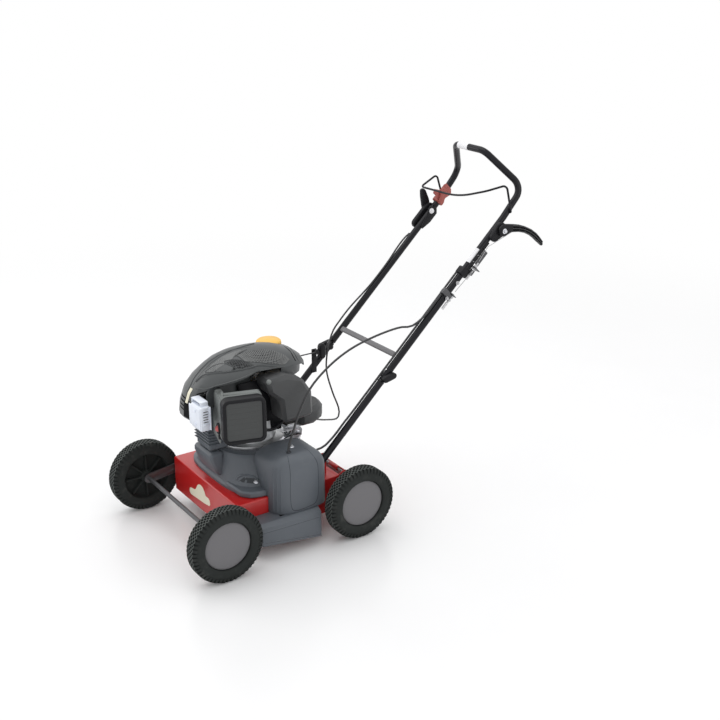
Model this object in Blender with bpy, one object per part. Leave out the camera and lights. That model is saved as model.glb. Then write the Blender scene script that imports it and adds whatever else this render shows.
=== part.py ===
"""Petrol lawn scarifier on four wheels, with a folding handle, built piece by piece.

Metres, +Z up. The front of the machine faces -Y. The near side is +X and carries the belt drive.
Sizes along Y are measured from the middle of the wheelbase, and the machine empty moves them all
so that the whole machine stands over the origin.
"""
import math

import bmesh
import bpy
from mathutils import Matrix, Quaternion, Vector

for old in list(bpy.data.objects):
    bpy.data.objects.remove(old, do_unlink=True)

# Fits and stock
GAP = 0.0003
PLAY = 0.0005
SHEET = 0.0025
PLASTIC = 0.0028

# Wheels and axles
WHEEL_RADIUS = 0.100
WHEEL_WIDTH = 0.042
WHEEL_BASE = 0.404
TRACK = 0.4748
AXLE_RADIUS = 0.006
HUB_RADIUS = 0.017
HUBCAP_RADIUS = 0.0637
HUBCAP_DEPTH = 0.0165
WHEEL_WEB = 0.006
AXLE_HEAD = 0.009
FRONT_Y = -WHEEL_BASE / 2
REAR_Y = WHEEL_BASE / 2
AXLE_Z = WHEEL_RADIUS
ARM_PIVOT_Y = -0.108
ARM_PIVOT_Z = 0.112
ARM_WIDTH = 0.014
ARM_SHEET = 0.005
PIVOT_PIN = 0.005

# Deck
WHEEL_CLEAR = 0.0164
DRIVE_ROOM = 0.0534
DECK_FAR = -(TRACK - WHEEL_WIDTH) / 2 + WHEEL_CLEAR
DECK_NEAR = (TRACK - WHEEL_WIDTH) / 2 - DRIVE_ROOM
DECK_FRONT = -0.127
DECK_REAR = 0.190
DECK_BOTTOM = 0.052
DECK_TOP = 0.150
REAR_LUG = 0.022
HINGE_Y = 0.205
HINGE_Z = 0.153
HINGE_ROD = 0.003
KNUCKLE = 0.0065
FLAP_TAIL_Y = 0.262
FLAP_TAIL_Z = 0.045
FLAP_NEAR = DECK_NEAR + 0.015
FLAP_FAR = DECK_FAR + 0.008
KNUCKLE_LENGTH = 0.040
KNUCKLES = (DECK_FAR + 0.035, DECK_NEAR - 0.073)
HANDLE_EAR = (0.139, 0.166, 0.212)

# Handle
TUBE_RADIUS = 0.010
HANDLE_HALF = 0.1415
HANDLE_ANGLE = math.radians(43.95)
HANDLE_FOOT_Y = 0.150
HANDLE_FOOT_Z = 0.199
FOLD_Y = 0.3536
BEND_Y = 0.8175
BEND_Z = 0.8545
STRAIGHT_Y = 0.7505
GRIP_HALF = 0.062
GRIP_Y = 0.7406
GRIP_Z = 0.9525
BEND_RADIUS = 0.040
LAP = 0.013
LAP_ROOM = math.hypot(LAP, TUBE_RADIUS) + PLAY
CROSSBAR_Y = 0.392
CROSSBAR_DEPTH = 0.016
CROSSBAR_THICK = 0.008
CROSSBAR_LIFT = 0.012

# Blade rotor and its drive
ROTOR_Y = 0.020
ROTOR_Z = 0.074
BLADE_RADIUS = 0.070
BLADE_COUNT = 14
BLADE_SHEET = 0.0025
BLADE_MARGIN = 0.0268
BLADE_FIRST = DECK_FAR + BLADE_MARGIN
BLADE_PITCH = (DECK_NEAR - BLADE_MARGIN - BLADE_FIRST) / (BLADE_COUNT - 1)
ROTOR_SHAFT = 0.0085
BELT_X = DECK_NEAR + 0.0235
BELT_Z = 0.200
BELT_RADIUS = 0.0036
ENGINE_PULLEY = 0.0325
ROTOR_PULLEY = 0.0345
PULLEY_WIDTH = 0.015
GROOVE = 0.009
IDLER_RADIUS = 0.016
IDLER_WIDTH = 0.011
TENSION_PIVOT_X = 0.120
TENSION_PIVOT_Z = 0.172
TENSION_ANGLE = math.radians(4)
BOLT = 0.004

# Plastic covers
BELL_X = -0.025
BELL_Y = 0.020
BELL_TOP = 0.240
GUARD_TOP = 0.268
GUARD_SIDE = DECK_NEAR + 0.044
GUARD_INNER = GUARD_SIDE - 0.107
GUARD_CORNER = 0.022
GUARD_BACK = 0.130
EAR_HEIGHT = 0.018
GUARD_FRONT = -0.036
SKIRT_SIDE = DECK_NEAR + 0.062
SKIRT_STEP = 0.013
SKIRT_TOP = 0.1065
SKIRT_FRONT = -0.088
SKIRT_BACK = 0.090

# Engine
ENGINE_X = -0.030
ENGINE_Y = ROTOR_Y
CRANK_RADIUS = 0.011
FLYWHEEL = 0.058
SHROUD_X = -0.025
SHROUD_Y = 0.0
SHROUD_FOOT = 0.342
FILTER_TURN = math.radians(-15.7)
PRIMER_RADIUS = 0.010
PRIMER_TRAVEL = 0.004
CAP_X = -0.055
CAP_Y = 0.105
PLUG_X = -0.030
PLUG_Z = 0.354
OIL_X = -0.107
OIL_Y = 0.067
OIL_Z = 0.305
CONTROL_X = 0.030
CONTROL_Y = 0.170
CONTROL_Z = 0.2645
ROPE_X = 0.0295 - HANDLE_HALF
ROPE_Z = 0.398
ROPE_RADIUS = 0.002
GUIDE_Y = 0.296

# Controls on the handle
BAIL_WIRE = 0.003
BAIL_BEND = 0.0045
BAIL_HALF = HANDLE_HALF + TUBE_RADIUS + BAIL_BEND + PLAY
BAIL_Y = 0.766
LEVER_Y = 0.727
LEVER_Z = 0.750
LEVER_REACH = 0.1475
THROTTLE_Y = 0.722
THROTTLE_Z = 0.745
LATCH_Y = 0.7445
CLUTCH_X = GUARD_SIDE - 0.029
CLUTCH_Y = 0.0225
CABLE_RADIUS = 0.003
THIN_CABLE = 0.0025
DEPTH_SHIFT = 0.0067
DEPTH_LIFT = 0.0118

MACHINE_Y = -(FRONT_Y - WHEEL_RADIUS + LEVER_Y + LEVER_REACH) / 2


def handle_z(y):
    """Height of the handle tubes' middle line over a place along the machine."""
    return HANDLE_FOOT_Z + (y - HANDLE_FOOT_Y) * math.tan(HANDLE_ANGLE)


def finish(name, colour, roughness, metallic=0.0):
    """A plain surface with the piece's own colour."""
    made = bpy.data.materials.new(name)
    made.use_nodes = True
    shader = made.node_tree.nodes["Principled BSDF"]
    shader.inputs["Base Color"].default_value = (*colour, 1)
    shader.inputs["Roughness"].default_value = roughness
    shader.inputs["Metallic"].default_value = metallic
    return made


RED = finish("red_paint", (0.50, 0.020, 0.015), 0.35)
GREY = finish("grey_plastic", (0.085, 0.095, 0.110), 0.55)
RUBBER = finish("tyre_black", (0.022, 0.025, 0.025), 0.75)
CAPGREY = finish("hubcap_grey", (0.125, 0.125, 0.135), 0.50)
BLACK = finish("black_plastic", (0.018, 0.018, 0.020), 0.40)
TUBE = finish("black_enamel", (0.012, 0.012, 0.014), 0.25)
STEEL = finish("bare_steel", (0.45, 0.45, 0.45), 0.35, 1.0)
DARK = finish("dark_steel", (0.12, 0.11, 0.11), 0.45, 0.9)
ALLOY = finish("cast_alloy", (0.55, 0.56, 0.57), 0.45, 1.0)
BLADES = finish("blade_red", (0.16, 0.018, 0.014), 0.50)
CHARCOAL = finish("tank_charcoal", (0.045, 0.045, 0.048), 0.45)
YELLOW = finish("cap_yellow", (0.85, 0.42, 0.03), 0.40)
LATCHRED = finish("latch_red", (0.42, 0.060, 0.045), 0.50)
ZINC = finish("zinc_plate", (0.72, 0.73, 0.75), 0.35, 1.0)
BULB = finish("primer_red", (0.50, 0.10, 0.10), 0.35)
CORD = finish("cable_black", (0.020, 0.020, 0.020), 0.45)

PLACES = {}


def empty(name, place, parent=None):
    """An empty in the machine's frame, on the axis that a moving piece turns or slides on."""
    item = bpy.data.objects.new(name, None)
    bpy.context.scene.collection.objects.link(item)
    item.parent = parent
    PLACES[name] = Vector(place)
    item.location = PLACES[name] - (PLACES[parent.name] if parent else Vector())
    return item


machine = empty("machine", (0, 0, 0))
machine.location.y = MACHINE_Y


def solid(name, bm, material, holder=machine, smooth=35):
    """One piece from a bmesh in the machine's frame, hung on its holder."""
    bmesh.ops.recalc_face_normals(bm, faces=bm.faces)
    bmesh.ops.translate(bm, vec=-PLACES[holder.name], verts=bm.verts)
    mesh = bpy.data.meshes.new(name)
    bm.to_mesh(mesh)
    bm.free()
    mesh.materials.append(material)
    mesh.shade_smooth()
    mesh.set_sharp_from_angle(angle=math.radians(smooth))
    item = bpy.data.objects.new(name, mesh)
    bpy.context.scene.collection.objects.link(item)
    item.parent = holder
    return item


def reshape(item, bm, action):
    """Welds a bmesh onto a piece, or cuts it out, with the exact Boolean solver."""
    tool = solid("tool", bm, item.data.materials[0], item.parent)
    change = item.modifiers.new(action, "BOOLEAN")
    change.operation = action
    change.solver = "EXACT"
    change.object = tool
    bpy.context.view_layer.update()
    graph = bpy.context.evaluated_depsgraph_get()
    mesh = bpy.data.meshes.new_from_object(item.evaluated_get(graph))
    item.modifiers.remove(change)
    item.data = mesh
    bpy.data.objects.remove(tool, do_unlink=True)
    return item


def weld(item, bm):
    return reshape(item, bm, "UNION")


def cut(item, bm):
    return reshape(item, bm, "DIFFERENCE")


def taken(item):
    """A piece's mesh as a bmesh, in place of the piece."""
    bm = bmesh.new()
    bm.from_mesh(item.data)
    bpy.data.objects.remove(item, do_unlink=True)
    return bm


def spot(axis, u, v, w):
    """A point from its place in a section, u and v, and its place w along the axis."""
    return {"X": Vector((w, u, v)), "Y": Vector((u, w, v)), "Z": Vector((u, v, w))}[axis]


def prism(outline, axis, low, high, bevel=0.0, segments=2):
    """An outline pushed along an axis, with all its edges rounded if bevel is given."""
    bm = bmesh.new()
    base = bm.faces.new([bm.verts.new(spot(axis, u, v, low)) for u, v in outline])
    grown = bmesh.ops.extrude_face_region(bm, geom=[base])["geom"]
    moved = [part for part in grown if isinstance(part, bmesh.types.BMVert)]
    bmesh.ops.translate(bm, verts=moved, vec=spot(axis, 0, 0, high - low))
    bmesh.ops.recalc_face_normals(bm, faces=bm.faces)
    if bevel:
        sharp = [edge for edge in bm.edges if edge.calc_face_angle(0) > 0.6]
        bmesh.ops.bevel(bm, geom=sharp, offset=bevel, segments=segments, profile=0.5,
                        affect="EDGES", clamp_overlap=True, material=-1)
    return bm


def box(x0, x1, y0, y1, z0, z1, bevel=0.0, segments=2):
    outline = [(x0, y0), (x1, y0), (x1, y1), (x0, y1)]
    return prism(outline, "Z", z0, z1, bevel, segments)


def turned(profile, axis, centre, segments, ring=True):
    """A profile of (radius, place along the axis) spun round an axis through centre."""
    bm = bmesh.new()
    out = Vector((1, 0, 0)) if axis == "Z" else Vector((0, 0, -1))
    along = spot(axis, 0, 0, 1)
    points = [Vector(centre) + out * radius + along * place for radius, place in profile]
    verts = [bm.verts.new(point) for point in points]
    following = verts[1:] + verts[:1] if ring else verts[1:]
    edges = [bm.edges.new(pair) for pair in zip(verts, following)]
    bmesh.ops.spin(bm, geom=verts + edges, cent=centre, axis=along, angle=2 * math.pi,
                   steps=segments, use_merge=True, use_duplicate=False)
    bmesh.ops.remove_doubles(bm, verts=bm.verts, dist=1e-6)
    return bm


def aimed(bm, place, way):
    """A shape made along +Z at the origin, turned to face way and moved to a place."""
    turn = Vector((0, 0, 1)).rotation_difference(way).to_matrix()
    bmesh.ops.rotate(bm, cent=(0, 0, 0), matrix=turn, verts=bm.verts)
    bmesh.ops.translate(bm, vec=place, verts=bm.verts)
    return bm


def rod(axis, centre, radius, low, high, segments=16):
    """A plain round bar along an axis, from low to high."""
    profile = [(0, low), (radius, low), (radius, high), (0, high)]
    base = Vector(centre)
    base["XYZ".index(axis)] = 0
    return turned(profile, axis, base, segments, ring=False)


def loft(rings, closed=False):
    """A skin over rings of points, closed round on itself or capped at both ends."""
    bm = bmesh.new()
    rows = [[bm.verts.new(point) for point in ring] for ring in rings]
    pairs = list(zip(rows, rows[1:] + rows[:1])) if closed else list(zip(rows, rows[1:]))
    for low, high in pairs:
        for k in range(len(low)):
            j = (k + 1) % len(low)
            bm.faces.new((low[k], low[j], high[j], high[k]))
    if not closed:
        bm.faces.new(rows[0])
        bm.faces.new(rows[-1])
    return bm


def oval(x, y, z, a, b, count, power=2.0):
    """A ring of points on a superellipse with half widths a and b."""
    ring = []
    for k in range(count):
        turn = 2 * math.pi * k / count
        u = math.copysign(abs(math.cos(turn)) ** (2 / power), math.cos(turn))
        v = math.copysign(abs(math.sin(turn)) ** (2 / power), math.sin(turn))
        ring.append(Vector((x + a * u, y + b * v, z)))
    return ring


def capsule(start, end, start_radius, end_radius, steps=6):
    """Outline of a link plate with a round end about each of two points."""
    turn = math.atan2(end[1] - start[1], end[0] - start[0])
    outline = []
    for centre, radius, first in ((end, end_radius, turn - math.pi / 2),
                                  (start, start_radius, turn + math.pi / 2)):
        for k in range(steps + 1):
            angle = first + math.pi * k / steps
            outline.append((centre[0] + radius * math.cos(angle),
                            centre[1] + radius * math.sin(angle)))
    return outline


def rounded(corners, radii, steps=5):
    """A path of straight runs with an arc of the given radius at each inner corner."""
    corners = [Vector(corner) for corner in corners]
    path = [corners[0]]
    for before, corner, after, radius in zip(corners, corners[1:], corners[2:], radii):
        back = (before - corner).normalized()
        on = (after - corner).normalized()
        half = back.angle(on) / 2
        centre = corner + (back + on).normalized() * radius / math.sin(half)
        start = corner + back * radius / math.tan(half) - centre
        turn = Quaternion(back.cross(start), (math.pi - 2 * half) / steps)
        for k in range(steps + 1):
            path.append(centre + start)
            start = turn @ start
    path.append(corners[-1])
    return path


def smooth(route, spacing):
    """Points at even steps on a smooth curve through a cord's route."""
    knots = [Vector(point) for point in route]
    knots = [2 * knots[0] - knots[1]] + knots + [2 * knots[-1] - knots[-2]]
    fine = []
    for a, b, c, d in zip(knots, knots[1:], knots[2:], knots[3:]):
        for k in range(24):
            t = k / 24
            fine.append(0.5 * (2 * b + (c - a) * t + (2 * a - 5 * b + 4 * c - d) * t * t
                               + (3 * b - a - 3 * c + d) * t ** 3))
    fine.append(knots[-2])
    length = sum((q - p).length for p, q in zip(fine, fine[1:]))
    count = max(3, round(length / spacing))
    path = [fine[0]]
    walked = 0.0
    for p, q in zip(fine, fine[1:]):
        walked += (q - p).length
        if walked >= length * len(path) / count and len(path) < count:
            path.append(q)
    path.append(fine[-1])
    return path


def pipe(name, path, radius, material, holder=machine, resolution=2, cyclic=False):
    """A round tube or cord along a path, as a curve with a bevel."""
    curve = bpy.data.curves.new(name, "CURVE")
    curve.dimensions = "3D"
    curve.bevel_depth = radius
    curve.bevel_resolution = resolution
    curve.use_fill_caps = not cyclic
    line = curve.splines.new("POLY")
    line.use_cyclic_u = cyclic
    line.points.add(len(path) - 1)
    for point, place in zip(line.points, path):
        point.co = (*(Vector(place) - PLACES[holder.name]), 1)
    curve.materials.append(material)
    item = bpy.data.objects.new(name, curve)
    bpy.context.scene.collection.objects.link(item)
    item.parent = holder
    return item


def as_mesh(item):
    """The same piece as a mesh, so that it can be cut."""
    bpy.context.view_layer.update()
    graph = bpy.context.evaluated_depsgraph_get()
    mesh = bpy.data.meshes.new_from_object(item.evaluated_get(graph))
    made = bpy.data.objects.new("made", mesh)
    bpy.context.scene.collection.objects.link(made)
    made.parent = item.parent
    name = item.name
    bpy.data.objects.remove(item, do_unlink=True)
    made.name = name
    return made


def make_deck():
    """Folded sheet-steel deck, open below and behind, with lugs for axles, flap and handle."""
    block = box(DECK_FAR, DECK_NEAR, DECK_FRONT, DECK_REAR, DECK_BOTTOM, DECK_TOP)
    deck = solid("deck", block, RED)
    cut(deck, box(DECK_FAR + SHEET, DECK_NEAR - SHEET, DECK_FRONT + SHEET, DECK_REAR + 0.05,
                  DECK_BOTTOM - 0.05, DECK_TOP - SHEET))
    for outside, inward in ((DECK_FAR, 1), (DECK_NEAR, -1)):
        low, high = sorted((outside, outside + inward * SHEET))
        weld(deck, prism(capsule((DECK_REAR - 0.03, 0.115), (REAR_Y, AXLE_Z), 0.024, REAR_LUG),
                         "X", low, high))
        weld(deck, prism(capsule((DECK_REAR - 0.02, 0.130), (HINGE_Y, HINGE_Z), 0.012, 0.009),
                         "X", low, high))
        middle = (0, ARM_PIVOT_Y, ARM_PIVOT_Z)
        cut(deck, rod("X", middle, PIVOT_PIN + PLAY, low - 0.01, high + 0.01))
        cut(deck, rod("X", (0, REAR_Y, AXLE_Z), AXLE_RADIUS + GAP, low - 0.01, high + 0.01))
        cut(deck, rod("X", (0, HINGE_Y, HINGE_Z), HINGE_ROD + GAP, low - 0.01, high + 0.01, 12))
        cut(deck, rod("X", (0, ROTOR_Y, ROTOR_Z), ROTOR_SHAFT + 0.002, low - 0.01, high + 0.01))
    front, back, top = HANDLE_EAR
    for side in (-1, 1):
        outer = side * (HANDLE_HALF - TUBE_RADIUS - GAP)
        low, high = sorted((outer, outer - side * SHEET))
        weld(deck, prism([(front, DECK_TOP - SHEET / 2), (back, DECK_TOP - SHEET / 2),
                          (back, top), (front + 0.008, top)], "X", low, high))
    cut(deck, rod("Z", (ENGINE_X, ENGINE_Y, 0), ENGINE_PULLEY + 0.012, DECK_TOP - 0.01,
                  DECK_TOP + 0.01, 24))
    for way in (-1, 1):
        low, high = sorted((ENGINE_Y + way * 0.0095, ENGINE_Y + way * 0.0135))
        cheek = capsule((TENSION_PIVOT_X - 0.002, DECK_TOP + 0.004),
                        (TENSION_PIVOT_X, TENSION_PIVOT_Z), 0.0065, 0.0075)
        weld(deck, prism(cheek, "Y", low, high))
    cut(deck, rod("Y", (TENSION_PIVOT_X, 0, TENSION_PIVOT_Z), BOLT + GAP, ENGINE_Y - 0.02,
                  ENGINE_Y + 0.02, 12))


def make_axles():
    """A fixed rear axle, and a front one on two arms that swing to set the working depth."""
    half = TRACK / 2 + WHEEL_WEB / 2 + PLAY + 0.003
    pipe("rear_axle", [(-half, REAR_Y, AXLE_Z), (half, REAR_Y, AXLE_Z)], AXLE_RADIUS, STEEL)
    swing = empty("front_swing", (0, ARM_PIVOT_Y, ARM_PIVOT_Z), machine)
    bar = rod("X", (0, FRONT_Y, AXLE_Z), AXLE_RADIUS, -half, half)
    axle = solid("front_axle", bar, STEEL, swing)
    for outside, away in ((DECK_FAR, -1), (DECK_NEAR, 1)):
        near = outside + away * (GAP + 0.003)
        far = near + away * ARM_SHEET
        low, high = sorted((near, far))
        plate = capsule((ARM_PIVOT_Y, ARM_PIVOT_Z), (FRONT_Y, AXLE_Z), ARM_WIDTH, ARM_WIDTH)
        weld(axle, prism(plate, "X", low, high))
        low, high = sorted((far - away * 0.001, outside - away * (SHEET + 0.006)))
        weld(axle, rod("X", (0, ARM_PIVOT_Y, ARM_PIVOT_Z), PIVOT_PIN, low, high))
    return swing


def make_wheel(corner, side, y, holder):
    """A moulded wheel with its tyre, and a plain hubcap pressed into its outer face."""
    x = side * TRACK / 2
    hub = empty("hub_" + corner, (x, y, AXLE_Z), holder)
    half = WHEEL_WIDTH / 2
    lip = HUBCAP_RADIUS + GAP
    web = WHEEL_WEB / 2
    bore = AXLE_RADIUS + PLAY
    profile = [(bore, -half + 0.001), (HUB_RADIUS, -half + 0.001), (HUB_RADIUS, -web), (lip, -web),
               (lip + 0.002, -half + 0.002), (0.086, -half), (0.0965, -half + 0.003),
               (WHEEL_RADIUS, -half + 0.009), (WHEEL_RADIUS, half - 0.009),
               (0.0965, half - 0.003), (0.086, half), (lip, half - 0.003), (lip, web), (bore, web)]
    profile = [(radius, side * place) for radius, place in profile]
    solid("wheel_" + corner, turned(profile, "X", (x, y, AXLE_Z), 24), RUBBER, hub)
    floor = web + GAP
    cap = [(0, HUBCAP_DEPTH), (0.052, HUBCAP_DEPTH), (HUBCAP_RADIUS, HUBCAP_DEPTH - 0.0025),
           (HUBCAP_RADIUS, floor), (HUBCAP_RADIUS - PLASTIC, floor),
           (HUBCAP_RADIUS - PLASTIC, HUBCAP_DEPTH - 0.005), (0, HUBCAP_DEPTH - PLASTIC)]
    cap = [(radius, side * place) for radius, place in cap]
    solid("hubcap_" + corner, turned(cap, "X", (x, y, AXLE_Z), 24, ring=False), CAPGREY, hub)


def make_rotor():
    """Shaft with hooked blades, its two bearings and the pulley outside the deck."""
    axis = empty("rotor_axis", (0, ROTOR_Y, ROTOR_Z), machine)
    shaft_far, shaft_near = DECK_FAR - 0.003, BELT_X + PULLEY_WIDTH / 2 + 0.003
    spacer = 0.016
    half = BLADE_SHEET / 2
    plan = [(shaft_far, None, ROTOR_SHAFT), (BLADE_FIRST - 0.006, None, ROTOR_SHAFT),
            (BLADE_FIRST - 0.006, None, spacer)]
    for blade in range(BLADE_COUNT):
        x = BLADE_FIRST + blade * BLADE_PITCH
        plan += [(x - half, None, spacer), (x - half, blade, 0), (x + half, blade, 0),
                 (x + half, None, spacer)]
    last = BLADE_FIRST + (BLADE_COUNT - 1) * BLADE_PITCH + 0.006
    plan += [(last, None, spacer), (last, None, ROTOR_SHAFT), (shaft_near, None, ROTOR_SHAFT)]
    hook = (BLADE_RADIUS, 0.036, 0.022)
    rings = []
    for x, blade, radius in plan:
        ring = []
        for k in range(12):
            reach = radius if blade is None else hook[(k + blade) % 3]
            turn = 2 * math.pi * k / 12
            ring.append(Vector((x, ROTOR_Y + reach * math.cos(turn),
                                ROTOR_Z + reach * math.sin(turn))))
        rings.append(ring)
    solid("blade_rotor", loft(rings), BLADES, axis, smooth=25)
    bearing = [(ROTOR_SHAFT + PLAY, 0), (0.024, 0), (0.024, 0.004), (0.015, 0.008),
               (ROTOR_SHAFT + PLAY, 0.008)]
    for name, face, way in (("rotor_bearing_far", DECK_FAR + SHEET + GAP, 1),
                            ("rotor_bearing_near", DECK_NEAR - SHEET - GAP, -1)):
        profile = [(radius, way * place) for radius, place in bearing]
        solid(name, turned(profile, "X", (face, ROTOR_Y, ROTOR_Z), 16), ALLOY)
    grooved = pulley(ROTOR_PULLEY, ROTOR_SHAFT)
    solid("rotor_pulley", turned(grooved, "X", (BELT_X, ROTOR_Y, ROTOR_Z), 18), DARK, axis)


def pulley(pitch, bore):
    """Profile of a grooved pulley that the belt runs in at its pitch radius."""
    rim = pitch + BELT_RADIUS
    floor = pitch - BELT_RADIUS - GAP
    half, groove = PULLEY_WIDTH / 2, GROOVE / 2
    return [(bore + GAP, -half), (rim, -half), (rim, -groove - 0.001), (floor, -groove),
            (floor, groove), (rim, groove + 0.001), (rim, half), (bore + GAP, half)]


def make_drive():
    """Crankshaft pulley, twisted belt over two idlers, and the tension arm that the clutch lifts."""
    crank = empty("crank_axis", (ENGINE_X, ENGINE_Y, BELT_Z), machine)
    shaft = rod("Z", (ENGINE_X, ENGINE_Y, 0), CRANK_RADIUS, BELT_Z - 0.012, 0.432)
    solid("crankshaft", shaft, STEEL, crank)
    solid("engine_pulley", turned(pulley(ENGINE_PULLEY, CRANK_RADIUS), "Z",
                                  (ENGINE_X, ENGINE_Y, BELT_Z), 18), DARK, crank)
    disc = [(CRANK_RADIUS + GAP, 0.394), (FLYWHEEL, 0.394), (FLYWHEEL, 0.412), (0.030, 0.424),
            (CRANK_RADIUS + GAP, 0.424)]
    solid("flywheel", turned(disc, "Z", (ENGINE_X, ENGINE_Y, 0), 24), ALLOY, crank)
    drop = IDLER_RADIUS + BELT_RADIUS + GAP
    top_x, top_z = BELT_X - drop, BELT_Z - drop
    path = [(ENGINE_X + ENGINE_PULLEY * math.cos(a), ENGINE_Y + ENGINE_PULLEY * math.sin(a), BELT_Z)
            for a in (math.pi / 2 + math.pi * k / 12 for k in range(13))]
    bend = [(top_x + drop * math.sin(a), top_z + drop * math.cos(a))
            for a in (math.pi / 2 * k / 6 for k in range(7))]
    path += [(x, ENGINE_Y - ENGINE_PULLEY, z) for x, z in bend]
    path += [(BELT_X, ROTOR_Y + ROTOR_PULLEY * math.cos(a), ROTOR_Z + ROTOR_PULLEY * math.sin(a))
             for a in (math.pi + math.pi * k / 12 for k in range(13))]
    path += [(x, ENGINE_Y + ENGINE_PULLEY, z) for x, z in reversed(bend)]
    pipe("drive_belt", path, BELT_RADIUS, CORD, resolution=1, cyclic=True)

    # The arm is built with the clutch let go, so its idlers hang a little under the belt
    arm = empty("tension_axis", (TENSION_PIVOT_X, ENGINE_Y, TENSION_PIVOT_Z), machine)
    reach, rise = top_x - TENSION_PIVOT_X, top_z - TENSION_PIVOT_Z
    idler_x = TENSION_PIVOT_X + reach * math.cos(TENSION_ANGLE) + rise * math.sin(TENSION_ANGLE)
    idler_z = TENSION_PIVOT_Z + rise * math.cos(TENSION_ANGLE) - reach * math.sin(TENSION_ANGLE)
    link = capsule((TENSION_PIVOT_X, TENSION_PIVOT_Z), (idler_x, idler_z), 0.008, 0.007)
    body = solid("tension_arm", prism(link, "Y", ENGINE_Y - 0.008, ENGINE_Y + 0.008), DARK, arm)
    side = ENGINE_PULLEY + IDLER_WIDTH / 2 + 0.003
    weld(body, rod("Y", (idler_x, 0, idler_z), BOLT, ENGINE_Y - side, ENGINE_Y + side, 12))
    weld(body, rod("Y", (TENSION_PIVOT_X, 0, TENSION_PIVOT_Z), BOLT, ENGINE_Y - 0.016,
                   ENGINE_Y + 0.016, 12))
    for name, way in (("idler_front", -1), ("idler_rear", 1)):
        y = ENGINE_Y + way * ENGINE_PULLEY
        hub = empty(name + "_axis", (idler_x, y, idler_z), arm)
        half = IDLER_WIDTH / 2
        wheel = [(BOLT + GAP, -half), (IDLER_RADIUS, -half), (IDLER_RADIUS, half),
                 (BOLT + GAP, half)]
        solid(name, turned(wheel, "Y", (idler_x, y, idler_z), 16), DARK, hub)


# Height, half widths, squareness and shift to the rear of the bell's rings, and place, reach and
# height of the guard's
BELL_RINGS = ((DECK_TOP + GAP, 0.168, 0.124, 3.6, 0), (DECK_TOP + 0.008, 0.168, 0.124, 3.6, 0),
              (DECK_TOP + 0.013, 0.161, 0.118, 3.6, 0), (0.180, 0.153, 0.120, 3.2, 0.005),
              (0.205, 0.142, 0.1195, 2.8, 0.0065), (0.232, 0.130, 0.1165, 2.4, 0.0055),
              (BELL_TOP, 0.124, 0.112, 2.3, 0.004))
GUARD_RINGS = ((-0.036, 0.057, 0.028), (-0.034, 0.042, 0.022), (-0.029, 0.028, 0.015),
               (-0.020, 0.015, 0.009), (-0.005, 0.0045, 0.004), (0.014, 0.0, 0.001),
               (0.035, 0.0, 0.0),
               (0.060, 0.0, 0.0005), (0.080, 0.0, 0.003), (0.098, 0.001, 0.008),
               (0.110, 0.005, 0.016), (0.120, 0.012, 0.028), (0.127, 0.022, 0.042),
               (0.130, 0.031, 0.054))


def make_covers():
    """Grey plastic: the bell under the engine, the belt guard and the side skirt below it."""
    count = 36
    outer = bell_rings(0, count)
    skin = PLASTIC + 0.001
    inner = [oval(BELL_X, BELL_Y + shift, z - PLASTIC, a - skin, b - skin, count, power)
             for z, a, b, power, shift in reversed(BELL_RINGS[3:])]
    foot = oval(BELL_X, BELL_Y, DECK_TOP + GAP, 0.157, 0.113, count, BELL_RINGS[0][3])
    mouth = [oval(BELL_X, BELL_Y, z, 0.062, 0.062, count) for z in (BELL_TOP, BELL_TOP - PLASTIC)]
    bell = solid("engine_bell", loft(outer + mouth + inner + [foot], closed=True), GREY)
    weld(bell, bell_ear(0, DECK_TOP + GAP, DECK_TOP + EAR_HEIGHT, 0.004))
    nose = [(-0.085, 0.172), (-0.104, 0.172), (-0.124, 0.222), (-0.124, BELL_TOP - 0.001),
            (-0.085, BELL_TOP - 0.001)]
    weld(bell, prism(nose, "X", BELL_X - 0.050, BELL_X + 0.050, 0.006, 1))
    side = ENGINE_PULLEY + BELT_RADIUS + 0.006
    cut(bell, box(0.085, 0.165, ENGINE_Y - side, ENGINE_Y + side, DECK_TOP + 0.006, BELT_Z + 0.014))

    guard = solid("belt_guard", guard_block(0, SKIRT_TOP + GAP), GREY)
    cut(guard, guard_block(PLASTIC, SKIRT_TOP - 0.01))
    grown = bell_rings(GAP, count)
    below = [point - Vector((0, 0, 0.02)) for point in grown[0]]
    above = [point + Vector((0, 0, GAP)) for point in grown[-1]]
    cut(guard, box(0, DECK_NEAR + GAP, -0.2, 0.2, 0.05, DECK_TOP + GAP))
    cut(guard, bell_ear(GAP, DECK_TOP - 0.01, DECK_TOP + EAR_HEIGHT + GAP, 0))
    cut(guard, loft([below] + grown[1:-1] + [above]))
    cut(guard, rod("Z", (CLUTCH_X, CLUTCH_Y, 0), CABLE_RADIUS + 0.001, GUARD_TOP - 0.02,
                   GUARD_TOP + 0.02, 12))

    inside = DECK_NEAR + GAP
    section = [(inside, SKIRT_TOP), (SKIRT_SIDE - SKIRT_STEP, SKIRT_TOP), (SKIRT_SIDE, 0.098),
               (SKIRT_SIDE, 0.020), (inside, 0.020)]
    skirt = solid("side_skirt", prism(section, "Y", SKIRT_FRONT, SKIRT_BACK), GREY)
    hollow = [(inside - 0.01, SKIRT_TOP - PLASTIC),
              (SKIRT_SIDE - SKIRT_STEP - 0.001, SKIRT_TOP - PLASTIC),
              (SKIRT_SIDE - PLASTIC, 0.0965), (SKIRT_SIDE - PLASTIC, 0.0), (inside - 0.01, 0.0)]
    cut(skirt, prism(hollow, "Y", SKIRT_FRONT + PLASTIC, SKIRT_BACK - PLASTIC))
    cut(skirt, box(BELT_X - 0.0145, BELT_X + 0.0135, ENGINE_Y - 0.040, ENGINE_Y + 0.040,
                   SKIRT_TOP - 0.01, SKIRT_TOP + 0.01))
    slope = [(-0.15, 0.0), (0.15, 0.0), (0.15, 0.017), (-0.15, 0.055)]
    cut(skirt, prism(slope, "X", 0.1, 0.3))


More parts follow.
